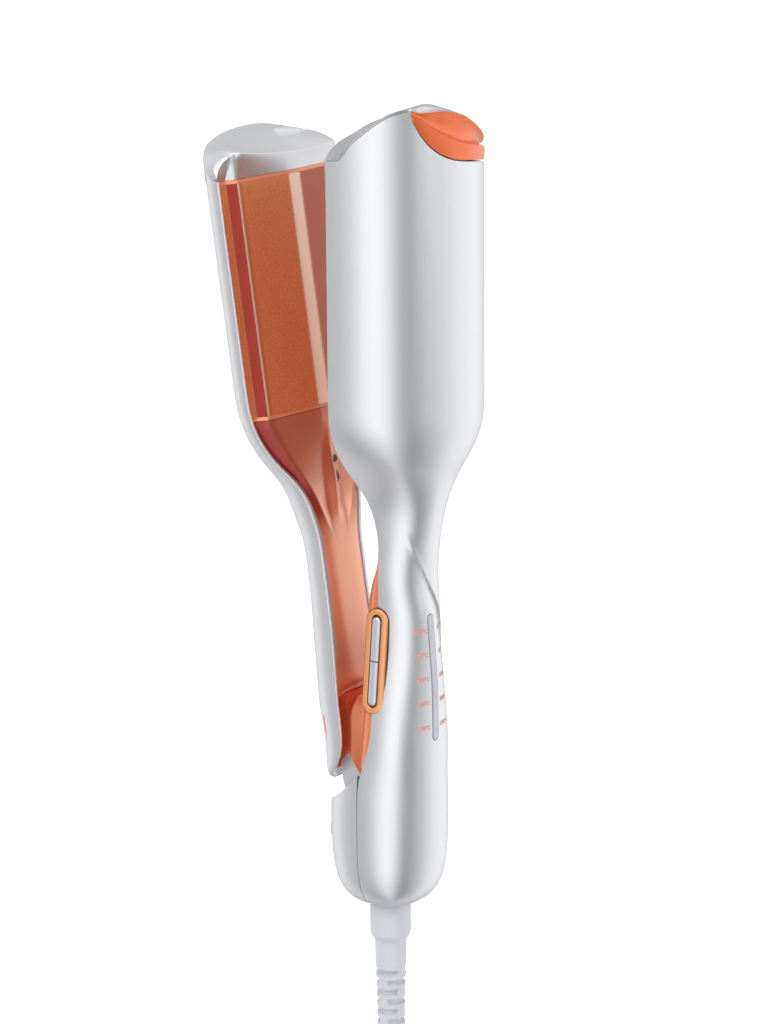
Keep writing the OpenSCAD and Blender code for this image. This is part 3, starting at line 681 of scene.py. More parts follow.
def cord_route():
    """Lead, then left and right runs in turn, then the last fold and the tail."""
    left = [(0, -FOLD_OUT), (-LAYER, -FOLD_OUT), (-LAYER, -FOLD_IN), (0, -FOLD_IN),
            (LAYER, -FOLD_IN), (LAYER, -FOLD_OUT)]
    right_runs = [(-LAYER, FOLD_OUT), (-LAYER, FOLD_IN), (0, FOLD_IN), (LAYER, FOLD_IN),
                  (LAYER, FOLD_OUT), (0, FOLD_OUT)]
    parts = [np.array([[0, 0, -58.1], [0, 0, -62]]),
             swerve(0, -66, left[0][1], -120)]
    for k, (a, b) in enumerate(zip(left, right_runs)):
        parts.append(fold(a, b, low, -1))
        following = left[k + 1] if k < 5 else (0, -12.4)
        parts.append(fold(b, following, top if k < 5 else -111, 1))
    parts.append(swerve(-12.4, -111, 0, -143)[1:])
    return np.concatenate(parts)


def even(points, step):
    """The same line with points each step mm, blurred a little."""
    length = np.r_[0, np.cumsum(np.linalg.norm(np.diff(points, axis=0), axis=1))]
    keep = np.r_[True, np.diff(length) > 1e-6]
    q = np.linspace(0, length[-1], int(length[-1] / step))
    line = np.stack([np.interp(q, length[keep], points[keep, k]) for k in range(3)], -1)
    soft = blurred(line, 1.6)
    soft[0], soft[-1] = line[0], line[-1]
    return soft


route = even(cord_route(), 2.5)
cord_length = np.linalg.norm(np.diff(route, axis=0), axis=1).sum()
print(f"cord: {cord_length:.0f} mm in {len(route)} points")

# %% The cord's sheath


def tube(line, radius, sides=16):
    """Circles of the given radius square to the line, carried without twist."""
    way = np.gradient(line, axis=0)
    way /= np.linalg.norm(way, axis=1)[:, None]
    across = np.cross(way, (1.0, 0.0, 0.0))
    across /= np.linalg.norm(across, axis=1)[:, None]
    other = np.cross(way, across)
    t = np.linspace(0, 2 * np.pi, sides, endpoint=False)
    around = np.cos(t)[None, :, None] * across[:, None] + np.sin(t)[None, :, None] * other[:, None]
    return line[:, None] + np.reshape(radius, (-1, 1, 1)) * around


cord = piece("mains_cord", stack(tube(route, CORD / 2)), "lead",
             finishes["cord_grey"], ("cord", "cord_hank", "cord_tail"), sharp=60)

# %% [markdown]
# A strap keeps the hank together and the plug sits inside it. Both are stacks
# of superellipse rings, a circle at power 2 that squares up as the power grows,
# so a round neck can become a boxy grip without a seam.

# %% The tie strap


def super_ring(half_x, half_y, z, power, n=64, cx=0.0, cy=0.0):
    """Closed superellipse |x/a|^p + |y/b|^p = 1 at height z."""
    t = np.linspace(0, 2 * np.pi, n, endpoint=False)
    c, s = np.cos(t), np.sin(t)
    return np.stack([cx + half_x * np.sign(c) * np.abs(c) ** (2 / power),
                     cy + half_y * np.sign(s) * np.abs(s) ** (2 / power), z + 0 * t], -1)


def tie_band():
    """A strap wound round the hank: four edge rings, joined back to the first,
    with a lip where the strap laps over itself."""
    z0 = HANK_MIDDLE
    rings = []
    for out, z in ((0.2, -4.5), (1.5, -4.5), (1.8, -4.1), (1.8, 4.1), (1.5, 4.5), (0.2, 4.5)):
        rings.append(super_ring(10.0 + out, 29.5 + out, z0 + z, 5.0, 96))
    lap = [super_ring(10.0 + o, 29.5 + o, z0 + z, 5.0, 96)[38:60]
           for o, z in ((1.85, -3.9), (2.0, -3.9), (2.0, 3.9), (1.85, 3.9))]
    lap = np.array(lap)
    return several(loop_back(rings), stack(lap.transpose(1, 0, 2)))


tie = piece("cord_tie_strap", tie_band(), "lead", finishes["dark_carrier"],
            ("cord_tie",), bevel=0.2)

# %% The plug, and the cord's facts
PLUG_TOP = -143.1


def plug_shape():
    """Neck, shoulders and a rounded grip body, with shallow finger grooves."""
    z = np.array([0, -1, -3, -9, -12, -13.5, -15.5, -19, -24, -29, -33, -35.2, -36])
    a = np.array([4.0, 4.6, 4.7, 4.9, 5.6, 6.9, 8.2, 8.8, 9, 9, 9, 8.8, 8.0])
    b = np.array([4.0, 4.6, 4.7, 5.0, 6.2, 8.4, 10.2, 11.2, 11.5, 11.5, 11.5, 11.3, 10.5])
    p = np.array([2, 2, 2, 2.1, 2.3, 2.6, 3, 3.6, 4, 4, 4, 4, 4])
    q = np.linspace(0, -36, 90)
    flip = -z
    rows = [monotone(flip, v, -q) for v in (a, b, p)]
    groove = 0.35 * np.clip(np.sin((-q - 16) / 14 * 4 * 2 * np.pi), 0, 1) * (
        (q < -16) & (q > -30))
    rings = [super_ring(u - g, v, h + PLUG_TOP, k, 72)
             for u, v, k, h, g in zip(rows[0], rows[1], rows[2], q, groove)]
    return stack(rings)


plug = piece("mains_plug", plug_shape(), "lead", finishes["plug_grey"],
             ("plug_body",), bevel=0.0, sharp=50)

# %% [markdown]
# The cord guard is one soft moulding: a straight collar, a short cone, a plain
# sleeve and then a row of rings. Neighbouring rings are held by two bridges,
# turned by a quarter each time, so the guard can bend in both directions.

# %% The cord guard
RING_PITCH = 3.7


def guard_shape():
    """r(z, t): collar, cone and sleeve, then core plus rings plus bridges."""
    z = np.r_[np.linspace(0.6, -24.6, 80), np.linspace(-24.75, -57.8, 190)]
    t = np.linspace(0, 2 * np.pi, 80, endpoint=False)
    body = monotone([-0.6, 0.4, 1.2, 2.4, 12, 13, 15.6, 17, 24.7, 25.2, 60],
                    [6.6, 7.0, 7.25, 7.3, 7.3, 7.15, 5.75, 5.65, 5.55, 5.5, 4.9], -z)
    core = np.where(z < -24.7, 3.95 - 0.01 * (-z - 25), body)
    beat = (-z - 25.2) / RING_PITCH
    phase = beat - np.floor(beat)
    ring = smooth(np.abs(phase - 0.5), 0.2, 0.29)
    ring = np.where(z > -25.2, 1, ring)
    turn = (np.floor(beat) % 2)[:, None] * np.pi / 2
    bridge = smooth(np.abs(np.cos(t[None] - turn)), 0.86, 0.95)
    share = np.maximum(ring[:, None], bridge)
    share[z < -56.6] = 1
    radius = core[:, None] + (body - core)[:, None] * share
    radius[-1] = CORD / 2 + 0.1
    return stack(np.stack([radius * np.cos(t), radius * np.sin(t),
                           np.broadcast_to(z[:, None], radius.shape)], -1))


piece("cord_guard", guard_shape(), "lead", finishes["cord_grey"],
      ("strain_relief",), sharp=50)

# %% [markdown]
# ## The shells
# Each shell is a function of height and angle: the smoothed stations give the
# half width, the rim and the depth, and a superellipse of power 2.35 gives the
# section between an oval and a box. The neck of the main arm carries one sharp
# sweep: the surface below the line dips towards it and the one above stands
# proud, which is what makes the handle look folded into the head. Sculpting
# the sweep by hand would be quick, but a push along the skin's own normal is
# exact, and the printed scale can later be laid on the very same surface.

# %% The sweep across the neck


def arm_at(z):
    """Half width, rim and depth of the main arm at height z."""
    return (np.interp(z, arm[5:, 0], arm[5:, k]) for k in (1, 2, 3))


def outward(x, y, half_width, rim, depth):
    """Unit normal of the section, from the slopes of |x/a|^p + |y/b|^p = 1."""
    nx = np.clip((x - rim) / depth, 0, 1) ** (POWER - 1) / depth
    ny = np.sign(y) * np.clip(np.abs(y) / half_width, 0, 1) ** (POWER - 1) / half_width
    size = np.hypot(nx, ny) + 1e-9
    return nx / size, ny / size


def sweep(points):
    """Pushes the skin inwards below the line z = s(y), most next to the line and
    fading with distance, and raises a fine ridge near its upper end."""
    x, y, z = points[..., 0], points[..., 1], points[..., 2]
    line = monotone([-14, -9.5, -6, -0.7, 4.4, 7.3, 9.5, 11],
                    [146, 136.5, 128.2, 118.6, 109, 100.1, 88, 74], y)
    gone = (line - z) * 0.46
    strength = smooth(y, -9.0, 1.5) * (1 - smooth(y, 9.5, 11.5)) * smooth(x, 6, 11)
    dip = 0.85 * strength * smooth(gone, -0.2, 0.3) * np.exp(-(np.maximum(gone, 0) / 5) ** 1.5)
    ridge = 0.22 * np.exp(-((gone - 0.3) / 0.8) ** 2) * (
        smooth(y, -11, -8) * (1 - smooth(y, -2, 1)) * smooth(x, 4, 8))
    move = ridge - dip
    nx, ny = outward(x, y, *arm_at(z))
    return points + move[..., None] * np.stack([nx, ny, 0 * z], -1)


def on_main(y, z, lift=0.0):
    """Point of the main skin at width y and height z, lifted off it by lift."""
    w, rim, depth = arm_at(z)
    x = rim + depth * np.clip(1 - np.abs(y / w) ** POWER, 1e-6, 1) ** (1 / POWER)
    nx, ny = outward(x, y, w, rim, depth)
    points = sweep(np.stack([x, y, z + 0 * y], -1))
    return points + np.reshape(lift, (-1, 1)) * np.stack([nx, ny, 0 * y], -1)


# %% [markdown]
# The housing is split in two like a real moulding, with a hair-line seam. Each
# half could be a solid cut by booleans, but a wall between an outer and an
# inner skin keeps even faces and a true edge, and needs no cut. The edge gets
# a small bevel with a near-white finish, a painted highlight along the sharp
# rim. The outside has one hollow more, so that the pressed buttons have room.

# %% Skins of the housing
SEAM = 0.12
GUARD_HOLE = 7.95
STEP_FROM = 236.0
BEZEL_MIDDLE = np.array([4.7, -13.6, 91.4])
BEZEL_TILT = math.radians(5.0)
BEZEL_LEAN = 0.015
POCKET_DEPTH = 1.25


def housing_skins(rows, side, count):
    """Outer and inner skin of half the housing: rows round the guard's hole, then the
    stations, and inside them the same drawn in by the wall over a 1.4 mm floor."""
    hole = [[2.0, GUARD_HOLE, 0, GUARD_HOLE], [0.5, GUARD_HOLE, 0, GUARD_HOLE],
            [0.06, 8.3, 0, 8.3]]
    rows = np.concatenate([hole, rows])
    rows[:, 2] = np.maximum(rows[:, 2], SEAM) if side > 0 else -SEAM
    thin = rows.copy()
    thin[:, [1, 3]] = np.maximum(rows[:, [1, 3]] - WALL, GUARD_HOLE + 0.03)
    thin[:, 0] = np.maximum(rows[:, 0] + 1.4 * (1 - smooth(rows[:, 0], 2, 14)), 2.0)
    a = np.linspace(-np.pi / 2, np.pi / 2, count)
    return rows[:, 0], section(rows, a, side, POWER), section(thin, a, side, POWER)


def raise_tops(points, rows_z, tops, start, end=PLATE_END):
    """Stretches the rows above start so that the row at end follows tops."""
    t = np.clip((rows_z - start) / (end - start), 0, 1)[:, None]
    base = np.minimum(points[..., 2], start)
    points[..., 2] = np.where(t > 0, base + t * (tops - start), points[..., 2])
    return points


def bezel_pocket(points):
    """A hollow under the bezel that gives the two buttons their travel: the skin moves
    in where its distance to the bezel's middle line is small."""
    x, y, z = points[..., 0], points[..., 1], points[..., 2]
    up = z - BEZEL_MIDDLE[2]
    gap = np.hypot(x - BEZEL_MIDDLE[0] - BEZEL_LEAN * up, np.maximum(np.abs(up) - 14.4, 0))
    out = points.copy()
    out[..., 1] += np.where(y < 0, POCKET_DEPTH * (1 - smooth(gap, 2.3, 3.4)), 0)
    return out


# %% The main shell


def main_shell_shape():
    """The stations from the base to the head, cut off under the tip and the cap, with
    the sweep and the bezel's hollow pressed into the outside."""
    neck = np.flatnonzero((arm[:, 0] > 72) & (arm[:, 0] < 150))
    keep = np.r_[np.arange(0, 60, 2), np.arange(60, len(arm), 3), neck[::2], len(arm) - 1]
    heights, outer, inner = housing_skins(arm[np.unique(keep)], 1, 181)
    y = outer[-1, :, 1]
    tops = np.where(y < TIP_FROM, main_edge(y) - 0.8, tip_low(y) - 0.25)
    tops = np.minimum(tops, main_edge(y) - 0.8)
    outer = raise_tops(outer, heights, tops, STEP_FROM)
    inner = raise_tops(inner, heights, tops, STEP_FROM)
    return wall(bezel_pocket(sweep(outer)), inner)


piece("main_arm_shell", main_shell_shape(), "handle", silver,
      ("main_shell",), bevel=0.4, edges=rim_painted_highlight)

# %% The housing's rear half, with the saddle round the lever's root


def saddle(x):
    """Height of the rear half's top edge: 35.6 at the back, rising in a hollow curve."""
    d = x + 20.3
    return 35.6 + 0.36 * d + 0.017 * d * d


def back_shell_shape():
    """The same section on the other side, with its top rows stretched to the saddle."""
    heights, outer, inner = housing_skins(arm[arm[:, 0] <= 46][::2], -1, 121)
    tops = saddle(outer[-1, :, 0])
    return wall(raise_tops(outer, heights, tops, 24, heights[-1]),
                raise_tops(inner, heights, tops, 24, heights[-1]))


piece("housing_back_shell", back_shell_shape(), "handle",
      silver, ("back_shell",), bevel=0.45, edges=rim_painted_highlight)

# %% [markdown]
# The lever's shell is a half pipe that ends in a spade low on the handle. Its
# stations shrink to almost nothing there, so the same section draws the round
# end without a cap of its own. Its top edge leaves room for an orange crescent
# that wraps the head's near corner.

# %% The lever's shell
LIP = 1.3


def seal_width(z):
    """The seal between lip and cover is widest along the neck, and narrow beside
    the root, where the two arms pass each other."""
    along_neck = (1 - smooth(z, 130, 172)) * smooth(z, 80, 96)
    return 0.2 + 0.3 * smooth(z, 82, 95) + 1.3 * along_neck


def lever_shell_shape():
    """A half pipe of thickness LIP through the lever's stations."""
    a = np.linspace(-np.pi / 2, np.pi / 2, 161)
    keep = np.unique(np.r_[np.arange(0, 50, 2), np.arange(50, len(lever), 3), len(lever) - 1])
    rows = lever[keep]
    outer = section(rows, a, -1, POWER)
    inner = section(rows, a, -1, POWER, LIP)
    tops = lever_shell_top(outer[-1, :, 1])
    outer = raise_tops(outer, rows[:, 0], tops, STEP_FROM)
    inner = raise_tops(inner, rows[:, 0], tops, STEP_FROM)
    return wall(outer, inner)


LEVER_TIP = (-30.6, -10.0)


def lever_tip_edges(y):
    """Lower and upper edge of the tip that wraps the near corner of the back."""
    low = monotone([-30.6, -28.5, -25.9, -20, -14, -10],
                   [260.9, 260.9, 261.1, 263.5, 269, 275.2], y)
    high = monotone([-30.6, -28.5, -25.9, -22, -17, -10],
                    [261.2, 264.2, 267.6, 271.2, 274, 275.5], y)
    return low, np.maximum(high, low + 0.3)


def lever_shell_top(y):
    """The shell ends under the cap's band, and under the tip where that is."""
    under_tip = lever_tip_edges(y)[0] - 0.2
    in_tip = (y > LEVER_TIP[0]) & (y < LEVER_TIP[1])
    return np.where(in_tip, under_tip, lever_edge(y) - 0.8)


piece("lever_arm_shell", lever_shell_shape(), "lever", silver,
      ("lever_shell",), bevel=0.3, lever=True)

# %% [markdown]
# ## Profiles carried up the arm
# The plates and the covers share one idea: a cross-section is a list of
# control points, each a function of height. Columns of the grid are tied to
# the control points, so an edge of the roof stays an edge of the mesh however
# it wanders, and a short blur across the columns rounds it.

# %% A profile of control points


def ruled(controls, per_span, rounding=1):
    """controls[k, row] = (x, y): columns run straight from one control point to
    the next, then are rounded by repeated quarter-half-quarter averages."""
    controls = np.asarray(controls, float)
    spans = [np.linspace(k, k + 1, n, endpoint=False) for k, n in enumerate(per_span)]
    s = np.concatenate(spans + [[len(per_span)]])
    k = np.minimum(s.astype(int), len(per_span) - 1)
    t = (s - k)[:, None, None]
    line = controls[k] * (1 - t) + controls[k + 1] * t
    for _ in range(rounding):
        line[1:-1] = 0.25 * line[:-2] + 0.5 * line[1:-1] + 0.25 * line[2:]
    return line.transpose(1, 0, 2)


def mirrored(half):
    """Control points from the left edge to the middle, repeated on the right."""
    half = np.asarray(half, float)
    other = half[::-1].copy()
    other[..., 1] *= -1
    return np.concatenate([half, other])


def raised(line, z):
    """Adds the heights as a third coordinate."""
    z = np.broadcast_to(np.reshape(z, (-1, 1)), line.shape[:2])
    return np.concatenate([line, z[..., None]], -1)


# %% [markdown]
# A hair plate is an extruded profile: two ridges with a trough between on one
# arm, and the matching wave on the other. Each end is trimmed by a narrow
# smooth strip. Light and shade on the coat are painted: a painted highlight
# along the crest and the eave edge and painted shade on the steep walls, so
# every point also gets a number that says how much of either it has.

# %% The hair plates
PLATE_ROWS = 24
main_half = [[0, -30.7], [-0.05, -29.2], [-0.3, -27], [-6, -24], [-3.3, -2.7]]
main_half_back = [[1.5, -30.7], [1.5, -29.2], [1.5, -25.6], [-4.2, -22.8], [-1.5, -2.4]]
lever_half = [[-12.6, -31.0], [-12.4, -30.0], [-12.1, -28.4], [-8.0, -27], [-4.8, -2.7]]
lever_half_back = [[-13.9, -31.3], [-13.9, -30.2], [-13.9, -26.8], [-9.7, -25.4],
                   [-6.6, -2.4]]
SPANS = [4, 5, 12, 40, 8, 40, 12, 5, 4]


def plate_shape(front, back, z0, z1, sink=0.0):
    """The plate's profile, front and back, drawn out from z0 to z1."""
    rows = np.linspace(z0, z1, PLATE_ROWS)

    def carried(half, shift):
        """One face of the plate, moved along X by shift."""
        controls = mirrored(half)
        controls[:, 0] += shift
        line = ruled(np.repeat(controls[:, None], len(rows), 1), SPANS, 2)
        return raised(line, rows)
    return wall(carried(front, sink), carried(back, 0))


def plate_painted_light(wall_painted_shade, roof_painted_shade, far_painted_shade, crest):
    """Point values: painted shade on each facet, and the painted highlight on the
    crest and the eave edge.
    """
    span = np.concatenate([np.arange(k, k + 1, 1 / n)[:n] for k, n in enumerate(SPANS)] + [[9.0]])
    deep = np.interp(span, [0, 1.9, 2.05, 2.95, 3.1, 3.9, 5.1, 5.95, 6.1, 9],
                     [0.1, 0.1, wall_painted_shade, wall_painted_shade, roof_painted_shade, roof_painted_shade, far_painted_shade, far_painted_shade,
                      wall_painted_shade, 0.1])
    worn = np.interp(span, [2.93, 3.0, 3.05, 3.97, 4.0, 4.98, 5.03],
                     [0, 0.7, 0, 0, crest, crest, 0])
    return {"deep": np.tile(deep, 2 * PLATE_ROWS), "worn": np.tile(worn, 2 * PLATE_ROWS)}


STRIP = 1.3
for arm_name, body, front, back, painted_light_values, proud in (
        ("main", "handle", main_half, main_half_back, plate_painted_light(0.8, 0.2, 0.6, 0.4), 0.15),
        ("lever", "lever", lever_half, lever_half_back, plate_painted_light(1, 0.1, 0.8, 0.9), -0.15)):
    swung = arm_name == "lever"
    piece(f"{arm_name}_hair_plate",
          plate_shape(front, back, PLATE_START + STRIP, PLATE_END - STRIP), body,
          plate, (f"{arm_name}_plate",), lever=swung, values=painted_light_values)
    piece(f"{arm_name}_plate_strips", several(
        plate_shape(front, back, PLATE_START, PLATE_START + STRIP - 0.05, proud),
        plate_shape(front, back, PLATE_END - STRIP + 0.05, PLATE_END, proud)), body,
        strip_copper, lever=swung)

# %% [markdown]
# ## The covers inside the arms
# The lever's cover is the showpiece. Below the plate the roof runs together
# into a funnel: its eaves close in on the middle, two valleys open beside a
# raised spine, and all of it melts into a smooth neck. Lower down the cover
# dives to the back of the channel, which makes room for the main arm's root.
# Curved patches joined by hand would leave creases, so one grid does it all:
# five control points a side, each a smooth function of the height.

# %% The lever's cover
COVER_SPANS = [10, 16, 30, 14, 14, 30, 16, 10]


def lever_cover_shape():
    """Rim, lip, eave, valley and spine on each side, joined by straight columns and
    blurred; below the funnel a quartic bowl takes over. Also gives the painted
    light values."""
    z = np.r_[np.linspace(49, 64, 26), np.linspace(65, 70, 8), np.linspace(70.5, 79, 30),
              np.linspace(80, 134, 44), np.linspace(135, PLATE_START - 0.15, 70)]
    w = np.interp(z, lever[:, 0], lever[:, 1])
    near, far = w - LIP - seal_width(z), w - LIP - 0.3
    rim = np.interp(z, lever[:, 0], lever[:, 2])
    eave = monotone([126, 130, 136, 140.2, 149.9, 155.9, 164.4, 171, 174.5, 177.4],
                    [1.8, 3.2, 6.0, 7.8, 12.0, 15.7, 20.9, 24.6, 26.3, 27], z)
    open_up = smooth(z, 136, 168)
    dive = 1 - smooth(z, 68, 80)
    face = -4.75 - 8.85 * dive
    lip = np.minimum(rim - 0.3 - 0.2 * open_up, face + 1.2)

    def bowl(y, half):
        """Depth of the neck's section: flat in the middle, curling up to the lip."""
        return face - (face - lip) * np.clip(y / half, 0, 1) ** 4

    funnel = smooth(z, 129, 145)
    eave_x = face - 0.1 - 3.2 * smooth(z, 140, 176)
    valley = 1.5 * smooth(z, 128, 144) * (1 - smooth(z, 156, 174))
    valley_y = monotone([128, 142, 150, 160, 177.4], [4.4, 4.3, 4.0, 3.5, 2.7], z)
    spine = 0.8 * smooth(z, 134, 146) * (1 - smooth(z, 150, 166))
    sides = []
    for half in (near, far):
        lip_in = np.minimum(half - 0.5, eave + monotone([136, 150, 165, 177.4],
                                                        [3.2, 5.0, 4.4, 1.4], z))
        eave_y = np.minimum(eave, lip_in - 0.4)
        flat = bowl(lip_in, half), bowl(eave_y, half)
        lip_x = flat[0] * (1 - funnel) + (lip + 0.15) * funnel
        roof_x = flat[1] * (1 - funnel) + eave_x * funnel
        side = [[lip, half], [lip_x, lip_in], [roof_x, eave_y],
                [face - valley, np.minimum(valley_y, eave_y - 0.4)], [face + spine, 0 * z]]
        sides.append(np.array([[np.broadcast_to(v, z.shape) for v in pair]
                               for pair in side]).transpose(0, 2, 1))
    both = np.concatenate([sides[0] * (1, -1), sides[1][::-1][1:]])
    front = raised(ruled(both, COVER_SPANS, 5), z)
    half = np.where(front[..., 1] < 0, near[:, None], far[:, None])
    across = np.clip(np.abs(front[..., 1]) / half, 0, 1)
    plain = face[:, None] - (face - lip)[:, None] * across ** 4
    front[..., 0] = plain * (1 - funnel[:, None]) + front[..., 0] * funnel[:, None]
    back = front.copy()
    back[..., 0] -= 1.1
    span = np.r_[np.concatenate([k + np.arange(n) / n for k, n in enumerate(COVER_SPANS)]), 8]
    # Painted light: "deep" paints shade and reflected red on the walls that face away, in the two
    # valleys and in a band low on the neck.
    cover_wall_painted_shade = np.interp(span, [0, 0.6, 1.1, 1.9, 2.15, 5.85, 6.1, 8],
                         [0.9, 1, 1, 0.95, 0.5, 0.5, 0.8, 0.7])
    valley_painted_shade = np.interp(span, [0, 2.6, 3, 3.5, 4, 4.5, 5, 5.4, 8],
                    [0, 0, 0.55, 0.1, 0, 0.1, 0.55, 0, 0])
    deep = funnel[:, None] * cover_wall_painted_shade
    deep = np.where((span > 2.1) & (span < 5.9), 0.5 * smooth(z, 140, 158)[:, None], deep)
    deep = np.maximum(deep, valley_painted_shade * (smooth(z, 128, 138) * (1 - 0.4 * smooth(z, 160, 172)))[:, None])
    low = 0.36 * smooth(z, 78, 88) * (1 - smooth(z, 82, 114)) ** 1.2
    deep = np.maximum(deep, low[:, None])
    soft = blurred(blurred(deep, 1.5).T, 1.2).T
    # "warm" paints the orange of light bounced off the root, low in the channel.
    warm = np.repeat((1 - smooth(z, 72, 86))[:, None], soft.shape[1], 1)
    painted_light_values = {"deep": np.tile(soft.ravel(), 2), "warm": np.tile(warm.ravel(), 2)}
    return wall(front, back), painted_light_values


cover_shape, cover_painted_light = lever_cover_shape()
piece("lever_funnel_cover", cover_shape, "lever",
      copper, ("lever_inner_cover",), lever=True, sharp=60,
      values=cover_painted_light)

# %% [markdown]
# Between the shell and the cover runs a soft seal, and the shell's rim itself
# is a thin bead in a near-white finish, a painted highlight along the rim. Both
# follow the lever's stations, so a bevel or a curve object isn't needed: a
# closed strip is a few corners given by their distance in from the edge and
# their depth, at every station.

# %% Seal and bead along the lever's rim


def rim_strips(start, corners):
    """Closed strips along the rim; corners = (distance in from the edge, depth)."""
    rows = lever[lever[:, 0] > start][::2]
    strips = []
    for way in (-1, 1):
        points = [np.stack([rows[:, 2] - down, way * np.maximum(rows[:, 1] - out, 0.1),
                            rows[:, 0]], -1) for out, down in corners(rows[:, 0])]
        strips.append(stack(np.array(points).transpose(1, 0, 2)))
    return several(*strips)


def seal_corners(z):
    """From the lip's inner face to just under the cover, 1.1 mm thick."""
    inside = LIP + seal_width(z) + 0.2
    return (LIP - 0.1, 0.25), (inside, 0.35), (inside, 1.4), (LIP - 0.1, 1.4)


def bead_corners(z):
    """A rounded bead on the rim, the same at every height z."""
    return (0.06, 0.35), (0.1, 0.02), (0.35, -0.18), (1.0, -0.18), (1.22, 0.02), (1.25, 0.3)


piece("lever_rim_seal", rim_strips(46.5, seal_corners), "lever",
      seal_grey, lever=True)
piece("lever_rim_painted_highlight", rim_strips(43.8, bead_corners), "lever",
      rim_painted_highlight, lever=True, sharp=60)

# %% [markdown]
# Two small vents let warm air out of the funnel's roof. Cutting them would
# tear the even grid, so each is a dark plug that follows the skin, painted
# shadow for the hole's dark inside, and one has a raised hoop. Both are
# drop-shaped: a circle that narrows towards its top.

# %% Two vents in the funnel


def on_cover(y, z, lift):
    """Point of the funnel's skin at width y and height z, lifted along X."""
    grid = cover_shape[0][:len(cover_shape[0]) // 2].reshape(-1, sum(COVER_SPANS) + 1, 3)
    heights = grid[:, 0, 2]
    x_rows = np.array([np.interp(y, row[:, 1], row[:, 0]) for row in grid])
    x = np.array([np.interp(h, heights, x_rows[:, k]) for k, h in enumerate(z)])
    return np.stack([x + lift, y, z], -1)


def vent(y, z, half_y, half_z, profile):
    """Drop-shaped rings laid on the cover, for each (growth, lift) of the profile."""
    t = np.linspace(0, 2 * np.pi, 40, endpoint=False)
    rings = []
    for grow, lift in profile:
        wide = half_y * grow * np.cos(t) * (1 - 0.35 * np.sin(t))
        rings.append(on_cover(y + wide, z + half_z * grow * np.sin(t), lift))
    return rings


hole = [(0.98, -0.6), (0.98, 0.03), (0.5, 0.05), (0.03, 0.05)]
hoop = [(1.0, -0.4), (1.02, 0.12), (1.12, 0.18), (1.22, 0.1), (1.24, -0.4)]
upper_vent, lower_vent = (2.5, 158.6, 2.1, 1.5), (3.1, 152.3, 1.2, 2.2)
piece("funnel_vents", several(stack(vent(*upper_vent, hole)), stack(vent(*lower_vent, hole))),
      "lever", vent_painted_shadow, lever=True)
piece("funnel_vent_rims", loop_back(vent(*lower_vent, hoop)), "lever",
      copper, lever=True)

# %% [markdown]
# The main arm's cover bulges towards the lever, and where the lever's tongue
# goes in, two cheeks stand up beside it: the root. A cheek is a stack of
# rounded rings that shrink over the top like a thumb, with a sloping foot.

# %% The main arm's cover


def main_cover_shape():
    """Half sections bulging towards the lever inside the shell's rim."""
    rows = stations([[52, 16.0, 2.9, 7.1], [65, 14.9, 5.2, 9.5], [78, 13.1, 5.1, 9.4],
                     [96, 10.8, 5.0, 9.2], [110, 10.5, 5.6, 9.4], [115, 10.6, 5.9, 8.7],
                     [119, 10.8, 6.0, 7.3], [123, 10.9, 6.1, 5.4], [127, 10.8, 6.2, 4.5],
                     [133, 10.6, 6.2, 4.5], [138, 10.8, 5.5, 4.3], [144, 11.6, 4.4, 3.8],
                     [150, 13.9, 3.1, 3.7], [156, 17.8, 1.65, 3.6],
                     [162, 22.3, 0.6, 3.6], [168, 26.5, 0.6, 4.1], [177, 29.3, 0.6, 4.6]],
                    0, 1.0, 1.5)
    a = np.linspace(-np.pi / 2, np.pi / 2, 121)
    return wall(section(rows[::2], a, -1, 3), section(rows[::2], a, -1, 3, 1.1))


piece("main_inner_cover_skin", main_cover_shape(), "handle",
      root_copper, ("main_inner_cover",), bevel=0.2, sharp=50)

# %% The root over the hinge


def root_lobe(way):
    """One cheek of the root: a block with a round nose and a high domed top, whose
    lower edge slopes with the saddle."""
    rings = []
    for t in np.linspace(0, 1, 60):
        dome = np.clip((t - 0.6) / 0.4, 0, 1)
        keep = math.sqrt(max(1 - dome ** 2.2, 0.0))
        ring = super_ring(0.6 + 4.0 * keep, 0.3 + 1.75 * keep, 0, 2.8, 56,
                          -4.9 + 2.2 * (1 - keep), way * (9.6 - 0.4 * (1 - keep)))
        bottom = 49.4 + np.clip(-5 - ring[:, 0], -4, 5) * 1.25
        crown = 77.5 - 6.5 * smooth(-ring[:, 0], 4.0, 9.4)
        ring[:, 2] = bottom + (crown - bottom) * math.sin(t * math.pi / 2)
        rings.append(ring)
    return stack(rings)


root_shape = several(root_lobe(-1), root_lobe(1))
# Painted shade on the root: its colour darkens towards the foot, deep in the channel, and over the
# domed top where it runs in under the cover.
root_painted_shade = np.clip((66 - root_shape[0][:, 2]) / 30, 0, 0.35) + np.clip(
    (root_shape[0][:, 2] - 72) / 6, 0, 0.6)
piece("hinge_root_cover", root_shape, "handle", root_copper,
      sharp=50, values={"deep": root_painted_shade})

# %% [markdown]
# ## End caps and tips
# Each head is closed by a silver cap. Its outline is the shell's section on
# one side and the plate's line on the other. The rings are that outline drawn
# in to a point, and a height function of x and y lifts them all, so the top
# can carry any crown or scoop and still closes without a seam. The lever's cap
# also has a sloping front wall that carries on the plate's roof, and a shallow
# teardrop scoop for a finger.

# %% Rings drawn in to a middle, lifted by a height function


def cap_top(ring, middle, height, count=30):
    """P(k) = middle + k (ring - middle) at z = height(x, y), with a rounded rim: the
    first two rings hang 0.35 and 0.1 mm lower."""
    k = 1 - np.linspace(0, 1, count) ** 1.25
    k = np.r_[1, 0.994, 0.985, k[1:-1][k[1:-1] < 0.98], 0.01]
    xy = middle + k[:, None, None] * (ring - middle)
    z = height(xy[..., 0], xy[..., 1])
    z[0] -= 0.35
    z[1] -= 0.1
    return np.concatenate([xy, z[..., None]], -1)


